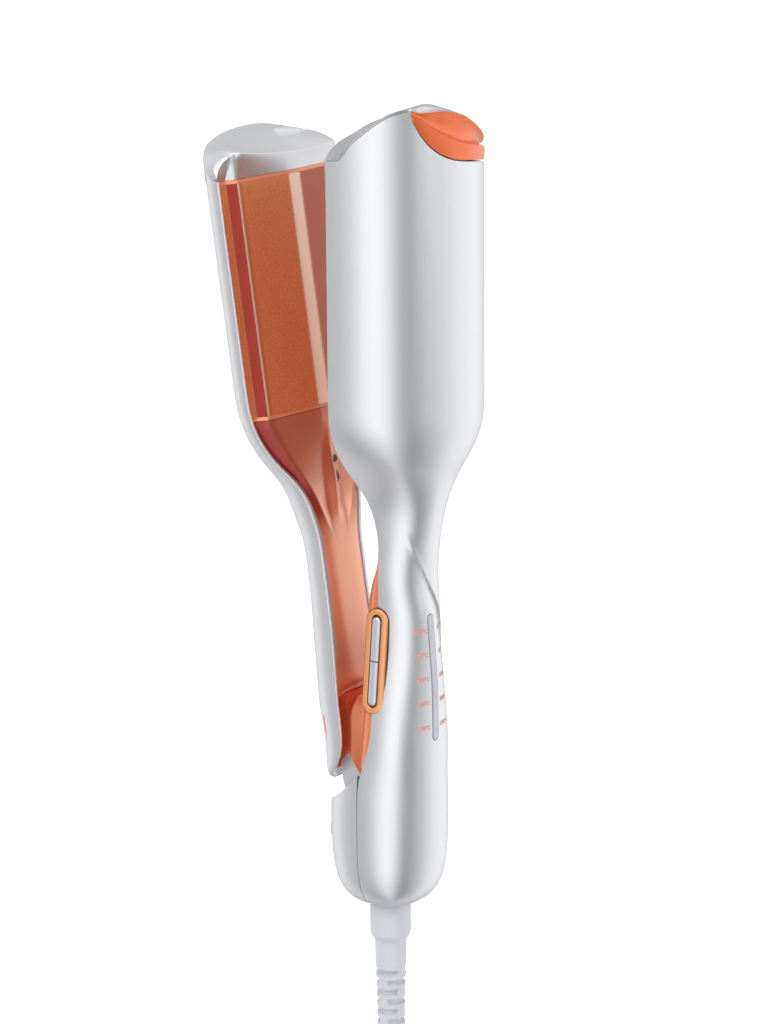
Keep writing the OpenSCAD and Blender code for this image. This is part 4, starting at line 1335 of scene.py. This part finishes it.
def cap_outline(rim, side, depth, front_x, inset, n=97):
    """Shell side from -90 to 90 degrees, then the front side back again."""
    a = np.linspace(-np.pi / 2, np.pi / 2, n)
    row = np.array([[0, HALF_HEAD, rim, depth]])
    outer = section(row, a, side, POWER)[0][:, :2]
    inner = section(row, a, side, POWER, 1.8)[0][:, :2]
    share = inset(outer[:, 1])[:, None] / 1.8
    shell_side = outer * (1 - share) + inner * share
    y = shell_side[0, 1] * np.sin(np.linspace(-np.pi / 2, np.pi / 2, n))[1:-1]
    front = np.stack([front_x(y), y], -1)
    return shell_side, front


def head_x(y):
    """Share of the head's depth that is left at width y."""
    return np.clip(1 - np.abs(y / HALF_HEAD) ** POWER, 1e-4, 1) ** (1 / POWER)


# %% The main head's cap
MAIN_CAP_MIDDLE = np.array([13.0, 0])


def main_front_edge(y):
    """Height of the cap's edge over the plate."""
    return monotone([-32.5, -28, -21.5, -17, -12.75, -8.25, -4, 0.5, 5, 9.5, 14, 18.5, 23,
                     28, 32.5], [268, 271, 273.6, 274.6, 275.5, 276.7, 277.6, 278.2, 278.6,
                                 278.5, 277.8, 276.4, 274.4, 271, 265.7], y)


def main_cap_front(y):
    """Plan of the front edge: -2.7 mm in the middle, running out to 0 at the ends."""
    return -2.7 * np.maximum(1 - np.abs(y / HALF_HEAD) ** 2.6, 0) ** (1 / 2.2)


def main_cap_height(x, y):
    """Ruled between the two edges along X, with a swell in the middle and a crown
    behind the tip."""
    outer_x = HEAD_DEPTH * head_x(y)
    front = main_cap_front(y)
    t = np.clip((outer_x - x) / (outer_x - front + 0.1), 0, 1)
    swell = 3.0 * np.sin(np.pi * t) * np.exp(-((y - 3) / 14) ** 2)
    swell += 2.0 * np.exp(-((y + 12) / 6.5) ** 2) * smooth(t, 0, 0.15) * (1 - smooth(t, 0.3, 1))
    return main_edge(y) * (1 - t) + main_front_edge(y) * t + swell - 0.5 * np.sin(np.pi * t)


def main_cap_inset(y):
    """The cap draws back 1.3 mm behind the orange tip."""
    return 1.3 * smooth(y, TIP_FROM - 0.6, -17.5)


def main_cap_shape():
    """Foot, shelf under the tip, wall and crowned top, from the outline's rings."""
    shell_side, front = cap_outline(0, 1, HEAD_DEPTH, main_cap_front, main_cap_inset)
    ring = np.concatenate([shell_side, front])
    shell = np.arange(len(ring)) < len(shell_side)
    dome = cap_top(ring, MAIN_CAP_MIDDLE, main_cap_height)
    y = ring[:, 1]
    under = np.where(y > TIP_FROM, main_edge(y) - tip_high(y) + 0.3, 0.75)
    low = np.where(shell, dome[0, :, 2] - under, PLATE_END + 0.15)
    wall_ring = np.concatenate([ring, low[:, None]], -1)
    keep_in = MAIN_CAP_MIDDLE + (ring - MAIN_CAP_MIDDLE) * 0.8
    shelf = np.concatenate([keep_in, low[:, None] - 0.05], -1)
    foot = np.concatenate([keep_in, np.minimum(low - 0.1, PLATE_END + 4)[:, None]], -1)
    return stack(np.concatenate([[foot], [shelf], [wall_ring], dome]))


piece("main_head_cap", main_cap_shape(), "handle",
      silver_deeper_painted_shade, ("main_end_cap",), sharp=38)

# %% The lever head's cap


def lever_cap_front(y):
    """Height of the front edge over the width."""
    at = np.array([0, 6, 18.8, 26.7, 29.5, 30.9, 31.7, 32.5])
    left = np.array([267, 267.4, 268.7, 269.8, 268.7, 266.9, 264.8, 261.6])
    right_side = np.array([267, 266.7, 267.2, 267.6, 267, 265.8, 264, 261.6])
    return np.where(y < 0, monotone(at, left, -y), monotone(at, right_side, y))


def scoop(x, y):
    """Teardrop, round at y = 7 and tapering to y = 26, about 8 mm wide."""
    along = np.clip((y - 6.5) / 20, 0, 1)
    middle = -15.4 - 3.2 * along
    half = 3.9 * np.sqrt(np.clip(along * 6, 0, 1)) * (1 - along) ** 0.55 + 0.05
    inside = np.clip(1 - ((x - middle) / half) ** 2, 0, 1)
    return 1.5 * inside ** 0.6 * smooth(y, 6.1, 8.0) * (1 - smooth(y, 23, 27))


def lever_cap_face(y):
    """Plan of the cap's front edge: the plate's profile, rounder and further out."""
    return monotone([0, 20, 25.5, 27.5, 29, 30.5, 31.6, 32.5],
                    [-5.7, -6.1, -6.6, -7.4, -8.7, -10.5, -11.9, -12.6], np.abs(y))


def lever_cap_height(x, y):
    """Ruled between the two edges along X, a little swollen, with the scoop."""
    outer_x = LEVER_RIM - LEVER_DEPTH * head_x(y)
    front = lever_cap_face(y)
    t = np.clip((x - outer_x) / (front - outer_x + 0.1), 0, 1)
    swell = 1.1 * np.sin(np.pi * t)
    return lever_edge(y) * (1 - t) + lever_cap_front(y) * t + swell - 1.6 * scoop(x, y)


def lever_cap_shape():
    """Foot, a wall that leans from the plate's roof out to the cap's edge, and the top."""
    shell_side, front = cap_outline(LEVER_RIM, -1, LEVER_DEPTH, lever_cap_face, np.zeros_like)
    ring = np.concatenate([shell_side, front])
    y = ring[:, 1]
    shell = np.arange(len(y)) < len(shell_side)
    middle = np.array([-16.5, 3.0])
    dome = cap_top(ring, middle, lever_cap_height, 60)
    in_tip = (y > LEVER_TIP[0]) & (y < LEVER_TIP[1])
    low = np.where(in_tip, lever_tip_edges(y)[1] + 0.1, dome[0, :, 2] - 0.35)
    low = np.where(shell, np.minimum(low, dome[0, :, 2] - 0.3), PLATE_END + 0.1)
    roof = np.interp(np.abs(y), [2.7, 26.4, 27.6, 28.6, 31.3], [-4.9, -8.0, -8.9, -12.0, -12.6])
    wall_xy = np.stack([np.where(shell, ring[:, 0], roof), y], -1)
    wall_ring = np.concatenate([wall_xy, low[:, None]], -1)
    rings = [wall_ring] + [wall_ring * (1 - t) + dome[0] * t for t in (0.25, 0.5, 0.75)]
    foot = wall_ring.copy()
    foot[:, :2] = middle + (foot[:, :2] - middle) * 0.9
    foot[:, 2] = np.minimum(foot[:, 2], PLATE_END + 0.1)
    return stack(np.concatenate([[foot], rings, dome]))


piece("lever_head_cap", lever_cap_shape(), "lever",
      silver_painted_shade, ("lever_end_cap",), lever=True, sharp=38)

# %% [markdown]
# The tips are the cool places to hold while the plates are hot. The main one
# is a shield let into the head: its rows run from the lower edge over a crease
# to the top, and each point moves along the head's own normal, out below the
# crease and in above it. The lever's is a thin crescent, a little proud.

# %% The main head's tip


def main_tip_shape():
    """Rows run from the lower edge over the crease to the top edge. Below the
    crease the tip swells a little; above it the facet leans and dishes inwards."""
    a0 = -math.asin((-TIP_FROM / HALF_HEAD) ** (POWER / 2))
    a = np.linspace(a0, np.pi / 2, 141)
    row = np.array([[0, HALF_HEAD, 0, HEAD_DEPTH]])
    xy = section(row, a, 1, POWER)[0][:, :2]
    x, y = xy.T
    bottom, rim = tip_low(y), tip_high(y)
    bottom = np.minimum(bottom, rim - 0.5)
    crease = np.clip(tip_crease(y), bottom + 0.2, rim - 0.2)
    up = np.linspace(0, 1, 10)[:, None], np.linspace(0, 1, 20)[1:, None]
    z = np.concatenate([bottom + up[0] * (crease - bottom), crease + up[1] * (rim - crease)])
    swell = 0.3 * np.sin(np.clip(up[0] * 1.15, 0, 1) * np.pi / 2) * np.ones_like(y)
    amount = 0.4 + 1.9 * smooth(y, TIP_FROM, -8) * (1 - 0.4 * smooth(y, 20, 32))
    dish = 0.3 - amount * np.sin(np.pi * up[1] ** 0.8) ** 0.8 - 0.3 * up[1]
    move = np.concatenate([swell, dish])
    nx, ny = outward(x, y, HALF_HEAD, 0, HEAD_DEPTH)
    outer = np.stack([x + move * nx, y + move * ny, z], -1)
    deep = np.concatenate([-3.9 + 0 * up[0], -3.9 + 2.4 * smooth(up[1], 0.6, 1)]) + 0 * y
    inner = np.stack([x + deep * nx, y + deep * ny, z], -1)
    return wall(outer, inner)


piece("main_head_tip", main_tip_shape(), "handle", orange,
      ("main_tip_grip",), bevel=0.2, sharp=45)

# %% The lever head's crescent


def lever_tip_shape():
    """A crescent on the outside of the near corner, a little proud of the shell."""
    y = np.linspace(*LEVER_TIP, 70)
    a = np.radians(angle_of(y))
    row = np.array([[0, HALF_HEAD, LEVER_RIM, LEVER_DEPTH]])
    outer = section(row, a, -1, POWER)[0][:, :2]
    inner = section(row, a, -1, POWER, 1.6)[0][:, :2]
    bottom, top_edge = lever_tip_edges(y)
    t = np.linspace(0, 1, 14)[:, None]
    z = bottom + t * (top_edge - bottom)
    grow = 1 + 0.012 * np.sin(t * np.pi) ** 0.6 * np.sin(np.linspace(0, np.pi, 70)) ** 0.5

    def carried(xy, g):
        """One skin, grown by g from the middle of the head."""
        return np.stack([LEVER_RIM + (xy[:, 0] - LEVER_RIM) * g, xy[:, 1] * g, z], -1)
    return wall(carried(outer, grow), carried(inner, 1 + 0 * grow))


piece("lever_head_tip", lever_tip_shape(), "lever", orange,
      ("lever_tip_grip",), lever=True)

# %% [markdown]
# ## Controls
# The temperature buttons are two halves of one long bar in an orange bezel.
# Every ring of these pieces is the same stadium outline, drawn in by a
# different amount and lifted to a different height, so one profile carried
# round the outline makes the bezel, the bars and the light strip.

# %% Stadium outlines


def stadium(length, width, inset, n=24, along=2):
    """Two half circles of radius width / 2 - inset joined by straight sides, each of
    them cut into so many steps along."""
    r, h = width / 2 - inset, (length - width) / 2
    t = np.linspace(0, np.pi, n)
    upper = np.stack([r * np.cos(t), h + r * np.sin(t)], -1)
    side = np.linspace(h, -h, along)[1:-1, None] * (0, 1) + (-r, 0)
    return np.concatenate([upper, side, -upper, -side])


def at_bezel(points):
    """Local x stays, local y runs up along the bezel and local z points out. The half
    on the arm's front bends down by 0.045 x^2 to follow the skin."""
    x, y, z = np.moveaxis(np.asarray(points, float), -1, 0)
    z = z - 0.045 * np.maximum(x, 0) ** 2
    s, c = math.sin(BEZEL_TILT), math.cos(BEZEL_TILT)
    return np.stack([x + BEZEL_LEAN * y, y * s - z * c, y * c + z * s], -1) + BEZEL_MIDDLE


def rings_of(length, width, profile, place=at_bezel, along=2):
    """One stadium ring for each (inset, height) of the profile."""
    flats = [stadium(length, width, inset, along=along) for inset, _ in profile]
    return [place(np.c_[flat, np.full(len(flat), height)])
            for flat, (_, height) in zip(flats, profile)]


# %% Bezel, painted gap shadow and buttons


BEZEL_LENGTH, BEZEL_WIDTH = 37.4, 8.5
BAR_LENGTH, BAR_WIDTH = 31.5, 3.4
wide = (BEZEL_WIDTH - BAR_WIDTH) / 2
bezel_profile = [(0.0, -2.2), (0.0, 0.35), (0.1, 0.6), (0.3, 0.76), (0.6, 0.82),
                 (wide - 0.62, 0.78), (wide - 0.48, 0.72), (wide - 0.36, 0.5),
                 (wide - 0.36, -2.0)]
piece("button_bezel_frame", loop_back(rings_of(
    BEZEL_LENGTH, BEZEL_WIDTH, bezel_profile)), "handle", bezel_orange,
    ("button_bezel",), sharp=50)
# Painted shadow: a dark ring just outside the bezel, a dark ring round the bars and a dark floor
# inside the bezel stand in for the shade in the gaps.
piece("bezel_gap_shadow", several(
    loop_back(rings_of(BEZEL_LENGTH + 0.56, BEZEL_WIDTH + 0.56,
                       [(0, -2.0), (0, 0.3), (0.12, 0.42), (0.25, 0.3), (0.25, -2.0)])),
    loop_back(rings_of(BAR_LENGTH + 0.68, BAR_WIDTH + 0.68,
                       [(0, -2.0), (0, 0.66), (0.1, 0.74), (0.24, 0.66), (0.24, -2.0)])),
    stack(rings_of(BEZEL_LENGTH - 0.6, BEZEL_WIDTH - 0.6, [(0, -2.1), (0, -1.5)]))),
    "handle", gap_painted_shadow)


def bar_shape(way):
    """One button: the bar's rings with everything past the split held at it."""
    rings = []
    for inset, height in ((0, 0.0), (0, 0.55), (0.12, 0.8), (0.4, 0.95), (1.0, 1.03),
                          (1.6, 1.06), (1.88, 1.07)):
        flat = stadium(BAR_LENGTH, BAR_WIDTH, inset)
        flat[:, 1] = way * np.maximum(way * flat[:, 1], 0.1 + 0.5 * min(inset, 0.3))
        rings.append(at_bezel(np.c_[flat, np.full(len(flat), height)]))
    return stack(rings)


piece("button_up_bar", bar_shape(1), "up_button",
      finishes["silver_button"], ("button_up",), sharp=50)
piece("button_down_bar", bar_shape(-1), "down_button",
      finishes["silver_button"], ("button_down",), sharp=50)

# %% [markdown]
# Beside the scale lies a frosted light strip, and the numbers are printed on
# the lacquer. Both have to follow the sweep in the skin. A shrinkwrap modifier
# could lay them on, but here the skin is a known function, so every point is
# put on it directly: a lift of 0.05 mm keeps the print clear of the lacquer.

# %% The light strip
LIGHT_MIDDLE = 85.2


def at_strip(points):
    """Local x runs across the arm, y up it and z out of its skin."""
    p = np.asarray(points, float)
    z = LIGHT_MIDDLE + p[:, 1]
    return on_main(p[:, 0] - 1.2 * smooth(z, 76, 110), z, p[:, 2])


lens_profile = [(0, -0.5), (0, 0.12), (0.15, 0.27), (0.5, 0.36), (1.0, 0.4), (1.34, 0.4)]
seat_profile = [(0, -0.5), (0.05, 0.02), (0.2, 0.07), (0.36, 0.03), (0.42, -0.5)]
piece("light_strip_lens", stack(rings_of(45.2, 2.7, lens_profile, at_strip, 60)), "handle",
      finishes["lens"], ("light_lens",), sharp=50)
# Painted shadow: the dark grey ring round the lens stands in for the shade of the groove the lens
# sits in.
piece("light_strip_groove_shadow", loop_back(rings_of(46.1, 3.6, seat_profile, at_strip, 60)),
      "handle", moulded("light strip groove shadow", lin(120, 122, 128), 0.5))

# %% The temperature scale
NUMBER_SIZE = 2.15
PRINT_LIFT = 0.05
# height above the base, degrees Celsius, degrees Fahrenheit
scale_rows = ((102.3, 210, 410), (93.8, 190, 370), (85.2, 170, 340), (76.5, 150, 300),
              (67.6, 130, 270))


def number_mesh(words, size):
    """The words as a flat mesh: points (u, v) and faces."""
    curve = bpy.data.curves.new("words", "FONT")
    curve.body, curve.size, curve.align_x, curve.align_y = words, size, "CENTER", "CENTER"
    curve.offset = 0.035 * size
    holder = bpy.data.objects.new("words", curve)
    bpy.context.scene.collection.objects.link(holder)
    bpy.context.view_layer.update()
    flat = bpy.data.meshes.new_from_object(holder.evaluated_get(
        bpy.context.evaluated_depsgraph_get()))
    points = np.zeros(len(flat.vertices) * 3, np.float32)
    flat.vertices.foreach_get("co", points)
    faces = [tuple(p.vertices) for p in flat.polygons]
    bpy.data.objects.remove(holder)
    bpy.data.curves.remove(curve)
    bpy.data.meshes.remove(flat)
    return points.reshape(-1, 3)[:, :2].astype(float), faces


def scale_shape():
    """Each number laid on the skin; u follows the skin, so dy = u cos(lean)."""
    parts = []
    for z, celsius, fahrenheit in scale_rows:
        for y0, words in ((-5.5, f"{celsius}°C"), (5.2, f"{fahrenheit}°F")):
            flat, faces = number_mesh(words, NUMBER_SIZE)
            near, far = on_main(np.array([y0]), z), on_main(np.array([y0 + 0.5]), z)
            lean = 0.5 / np.linalg.norm((far - near)[0])
            points = on_main(y0 + flat[:, 0] * lean, z + flat[:, 1], PRINT_LIFT)
            parts.append((points, faces))
    return several(*parts)


print_ink = moulded("salmon print", lin(232, 158, 140), 0.55, 3000.0, 0.00001)
piece("temperature_scale", scale_shape(), "handle", print_ink)

# %% [markdown]
# ## The lock slider and what shows in the saddle
# The slider is a small ribbed thumb pad on the housing's back. Its CAD body
# stays the same size; the new one has a rounded edge and real ribs. Inside
# the saddle two smooth decks close the housing beside the lever's tongue.
# Both are too small for a grid of their own: stacked rings and a plain sheet
# are enough.

# %% Lock slider
SLIDER_Z = 23.0


def on_back(ring, x, z=SLIDER_Z):
    """A flat ring stood up across X at depth x, with its middle at height z."""
    return np.stack([np.full(len(ring), x), ring[:, 0], z + ring[:, 1]], -1)


def slider_shape():
    """A pad of stacked superellipse rings along X, four ribs and the stem."""
    rings = []
    for x, grow in ((-20.65, -0.5), (-20.8, 0.0), (-21.9, 0.0), (-22.3, -0.25), (-22.5, -0.8)):
        rings.append(on_back(super_ring(6.0 + grow, 4.0 + grow, 0, 3.4, 64), x))
    ribs = []
    for z in (20.9, 22.3, 23.7, 25.1):
        ribs.append(stack([on_back(super_ring(w, h, 0, 4, 32), x, z) for x, w, h in
                           ((-22.3, 4.4, 0.42), (-22.75, 4.3, 0.34), (-22.85, 4.1, 0.2))]))
    stem = [on_back(super_ring(w, 2.0, 0, 6, 32), x)
            for x, w in ((-20.7, 2.1), (-17.2, 2.1), (-17.15, 4.0), (-15.3, 4.0))]
    return several(stack(rings), *ribs, stack(stem))


piece("lock_slider_pad", slider_shape(), "lock", silver_painted_shade,
      ("lock_slider",), sharp=50)

# %% Decks beside the tongue


def deck(way):
    """A sheet from the cheek to the shell, 2 mm below the saddle's edge."""
    x = np.linspace(-17.6, -0.6, 30)[:, None]
    t = np.linspace(0, 1, 14)[None]
    w = 19.0 - WALL - 0.2
    outer_y = w * (1 - np.clip(np.abs(x) / 18.6, 0, 1) ** POWER) ** (1 / POWER)
    y = 9.2 + t * np.maximum(outer_y - 9.2, 0.3)
    z = saddle(x) - 2.2 - 2.5 * (1 - t) ** 2 + 0 * y
    upper = np.stack([x + 0 * y, way * y, z], -1)
    return wall(upper, upper - (0, 0, 1.2))


piece("saddle_decks", several(deck(-1), deck(1)), "handle",
      finishes["grey_inner"])

# %% [markdown]
# ## The CAD nodes that stay
# Screws, heaters, carriers, the board, the spring and the rest keep their
# CAD shape. Each gets its slot's finish.

# %% Finish every node by its slot
for entry in frame["record"]["subparts"]:
    node = nodes[entry["node"]]
    node.data.materials.clear()
    node.data.materials.append(finishes[entry["material_slot"]])
nodes["lever_tongue"].data.materials[0] = tongue_finish()

# %% [markdown]
# ## Floor, light and backdrop
# The floor lies under the hank. The backdrop is white for the camera alone;
# the object is lit by a plain soft sky and three large lamps. Satin silver
# looks like whatever it mirrors, so the sky that its reflections see has a few
# broad grey and white panels, as a product studio hangs round such a handle.

# %% Floor
FLOOR_Z, FLOOR_HALF = -0.2745, 6
corners = [(x * FLOOR_HALF, y * FLOOR_HALF, FLOOR_Z)
           for x, y in ((-1, -1), (1, -1), (1, 1), (-1, 1))]
floor_mesh = bpy.data.meshes.new("floor")
floor_mesh.from_pydata(corners, [], [(0, 1, 2, 3)])
floor = bpy.data.objects.new("floor", floor_mesh)
bpy.context.scene.collection.objects.link(floor)
paper = Recipe("floor paper")
paper.finish(Base_Color=(0.86, 0.86, 0.86, 1), Roughness=0.9)
floor_mesh.materials.append(paper.material)

# %% The sky and its panels
world = bpy.data.worlds.new("studio")
bpy.context.scene.world = world
sky = Recipe("studio", world)
flat_x, flat_y, high_z = sky.axes(sky.coords)
turn = sky.node("ShaderNodeMath", {"operation": "ARCTAN2"}, {0: flat_y, 1: flat_x})
place = turn * (1 / (2 * math.pi)) + 0.5


def panel_stops(levels):
    """Grey levels at compass angles, as stops from -180 to 180 degrees."""
    return [((angle + 180) / 360, (v, v, v, 1)) for angle, v in levels]


panels = sky.node("ShaderNodeValToRGB", {"stops": panel_stops([
    (-180, 1.1), (-165, 1.1), (-148, 0.72), (-128, 0.5), (-108, 0.72), (-96, 1.12),
    (-78, 1.5), (-66, 1.48), (-57, 1.36), (-48, 1.05), (-40, 0.72), (-32, 0.46),
    (-22, 0.34), (-10, 0.36), (4, 0.55), (22, 0.72), (38, 0.94), (54, 1.25), (70, 1.35),
    (90, 1.1), (110, 0.72), (128, 0.6), (150, 0.72), (170, 1.0), (180, 1.1)])},
    {"Fac": place})
panels = sky.mix(sky.ramp(high_z * -1, 0.42, 0.95), panels, (0.7, 0.7, 0.71, 1), "MULTIPLY")
panels = sky.mix(sky.ramp(high_z, 0.4, 0.95), panels, (0.85, 0.85, 0.85, 1))
path = sky.tree.nodes.new("ShaderNodeLightPath")
is_camera = Number(sky, path.outputs["Is Camera Ray"])
is_glossy = Number(sky, path.outputs["Is Glossy Ray"])
is_through = Number(sky, path.outputs["Is Transmission Ray"])
colour = sky.mix(is_glossy, (0.56, 0.565, 0.575, 1), panels)
colour = sky.mix(is_camera + is_through, colour, (1, 1, 1, 1))
background = sky.tree.nodes["Background"]
sky.put(background.inputs["Color"], colour)
background.inputs["Strength"].default_value = 1.0

# %% [markdown]
# Three area lamps add the shine that a sky alone lacks. Large lamps give soft
# shadow edges, so they are about a metre wide and a metre and a half away. The
# floor is finished last: for the camera it glows like lit paper and keeps the
# contact shadow, and for reflections it isn't there, so the sky shows instead.

# %% Lamps


def lamp(name, place_m, aim, size, power):
    """A large square lamp at place_m, turned to aim."""
    data = bpy.data.lights.new(name, "AREA")
    data.shape, data.size, data.energy = "SQUARE", size, power
    obj = bpy.data.objects.new(name, data)
    obj.location = place_m
    obj.rotation_euler = (Vector(aim) - Vector(place_m)).to_track_quat("-Z", "Y").to_euler()
    bpy.context.scene.collection.objects.link(obj)
    print(name, "at", place_m)


lamp("key lamp", (-0.35, -1.5, 1.1), (0, 0, 0.08), 0.9, 15)
lamp("fill lamp", (1.5, 0.2, 0.7), (0, 0, 0.08), 1.1, 9)
lamp("top lamp", (-0.2, 0.4, 1.8), (0, 0, 0.1), 1.2, 12)

# %% Floor seen as paper: white for the camera with the shadow kept, open for gloss
path = paper.tree.nodes.new("ShaderNodeLightPath")
glow = paper.node("ShaderNodeEmission", {}, {"Strength": 0.62})
glowing = paper.node("ShaderNodeAddShader", {}, {0: paper.shader.outputs[0], 1: glow})
shown = paper.node("ShaderNodeMixShader", {}, {
    0: path.outputs["Is Camera Ray"], 1: paper.shader.outputs[0], 2: glowing})
clear = paper.node("ShaderNodeBsdfTransparent")
whole = paper.node("ShaderNodeMixShader", {}, {
    0: path.outputs["Is Glossy Ray"], 1: shown, 2: clear})
paper.put(paper.tree.nodes["Material Output"].inputs["Surface"], whole)

# %% Colour management and the end
bpy.context.scene.view_settings.view_transform = "Standard"
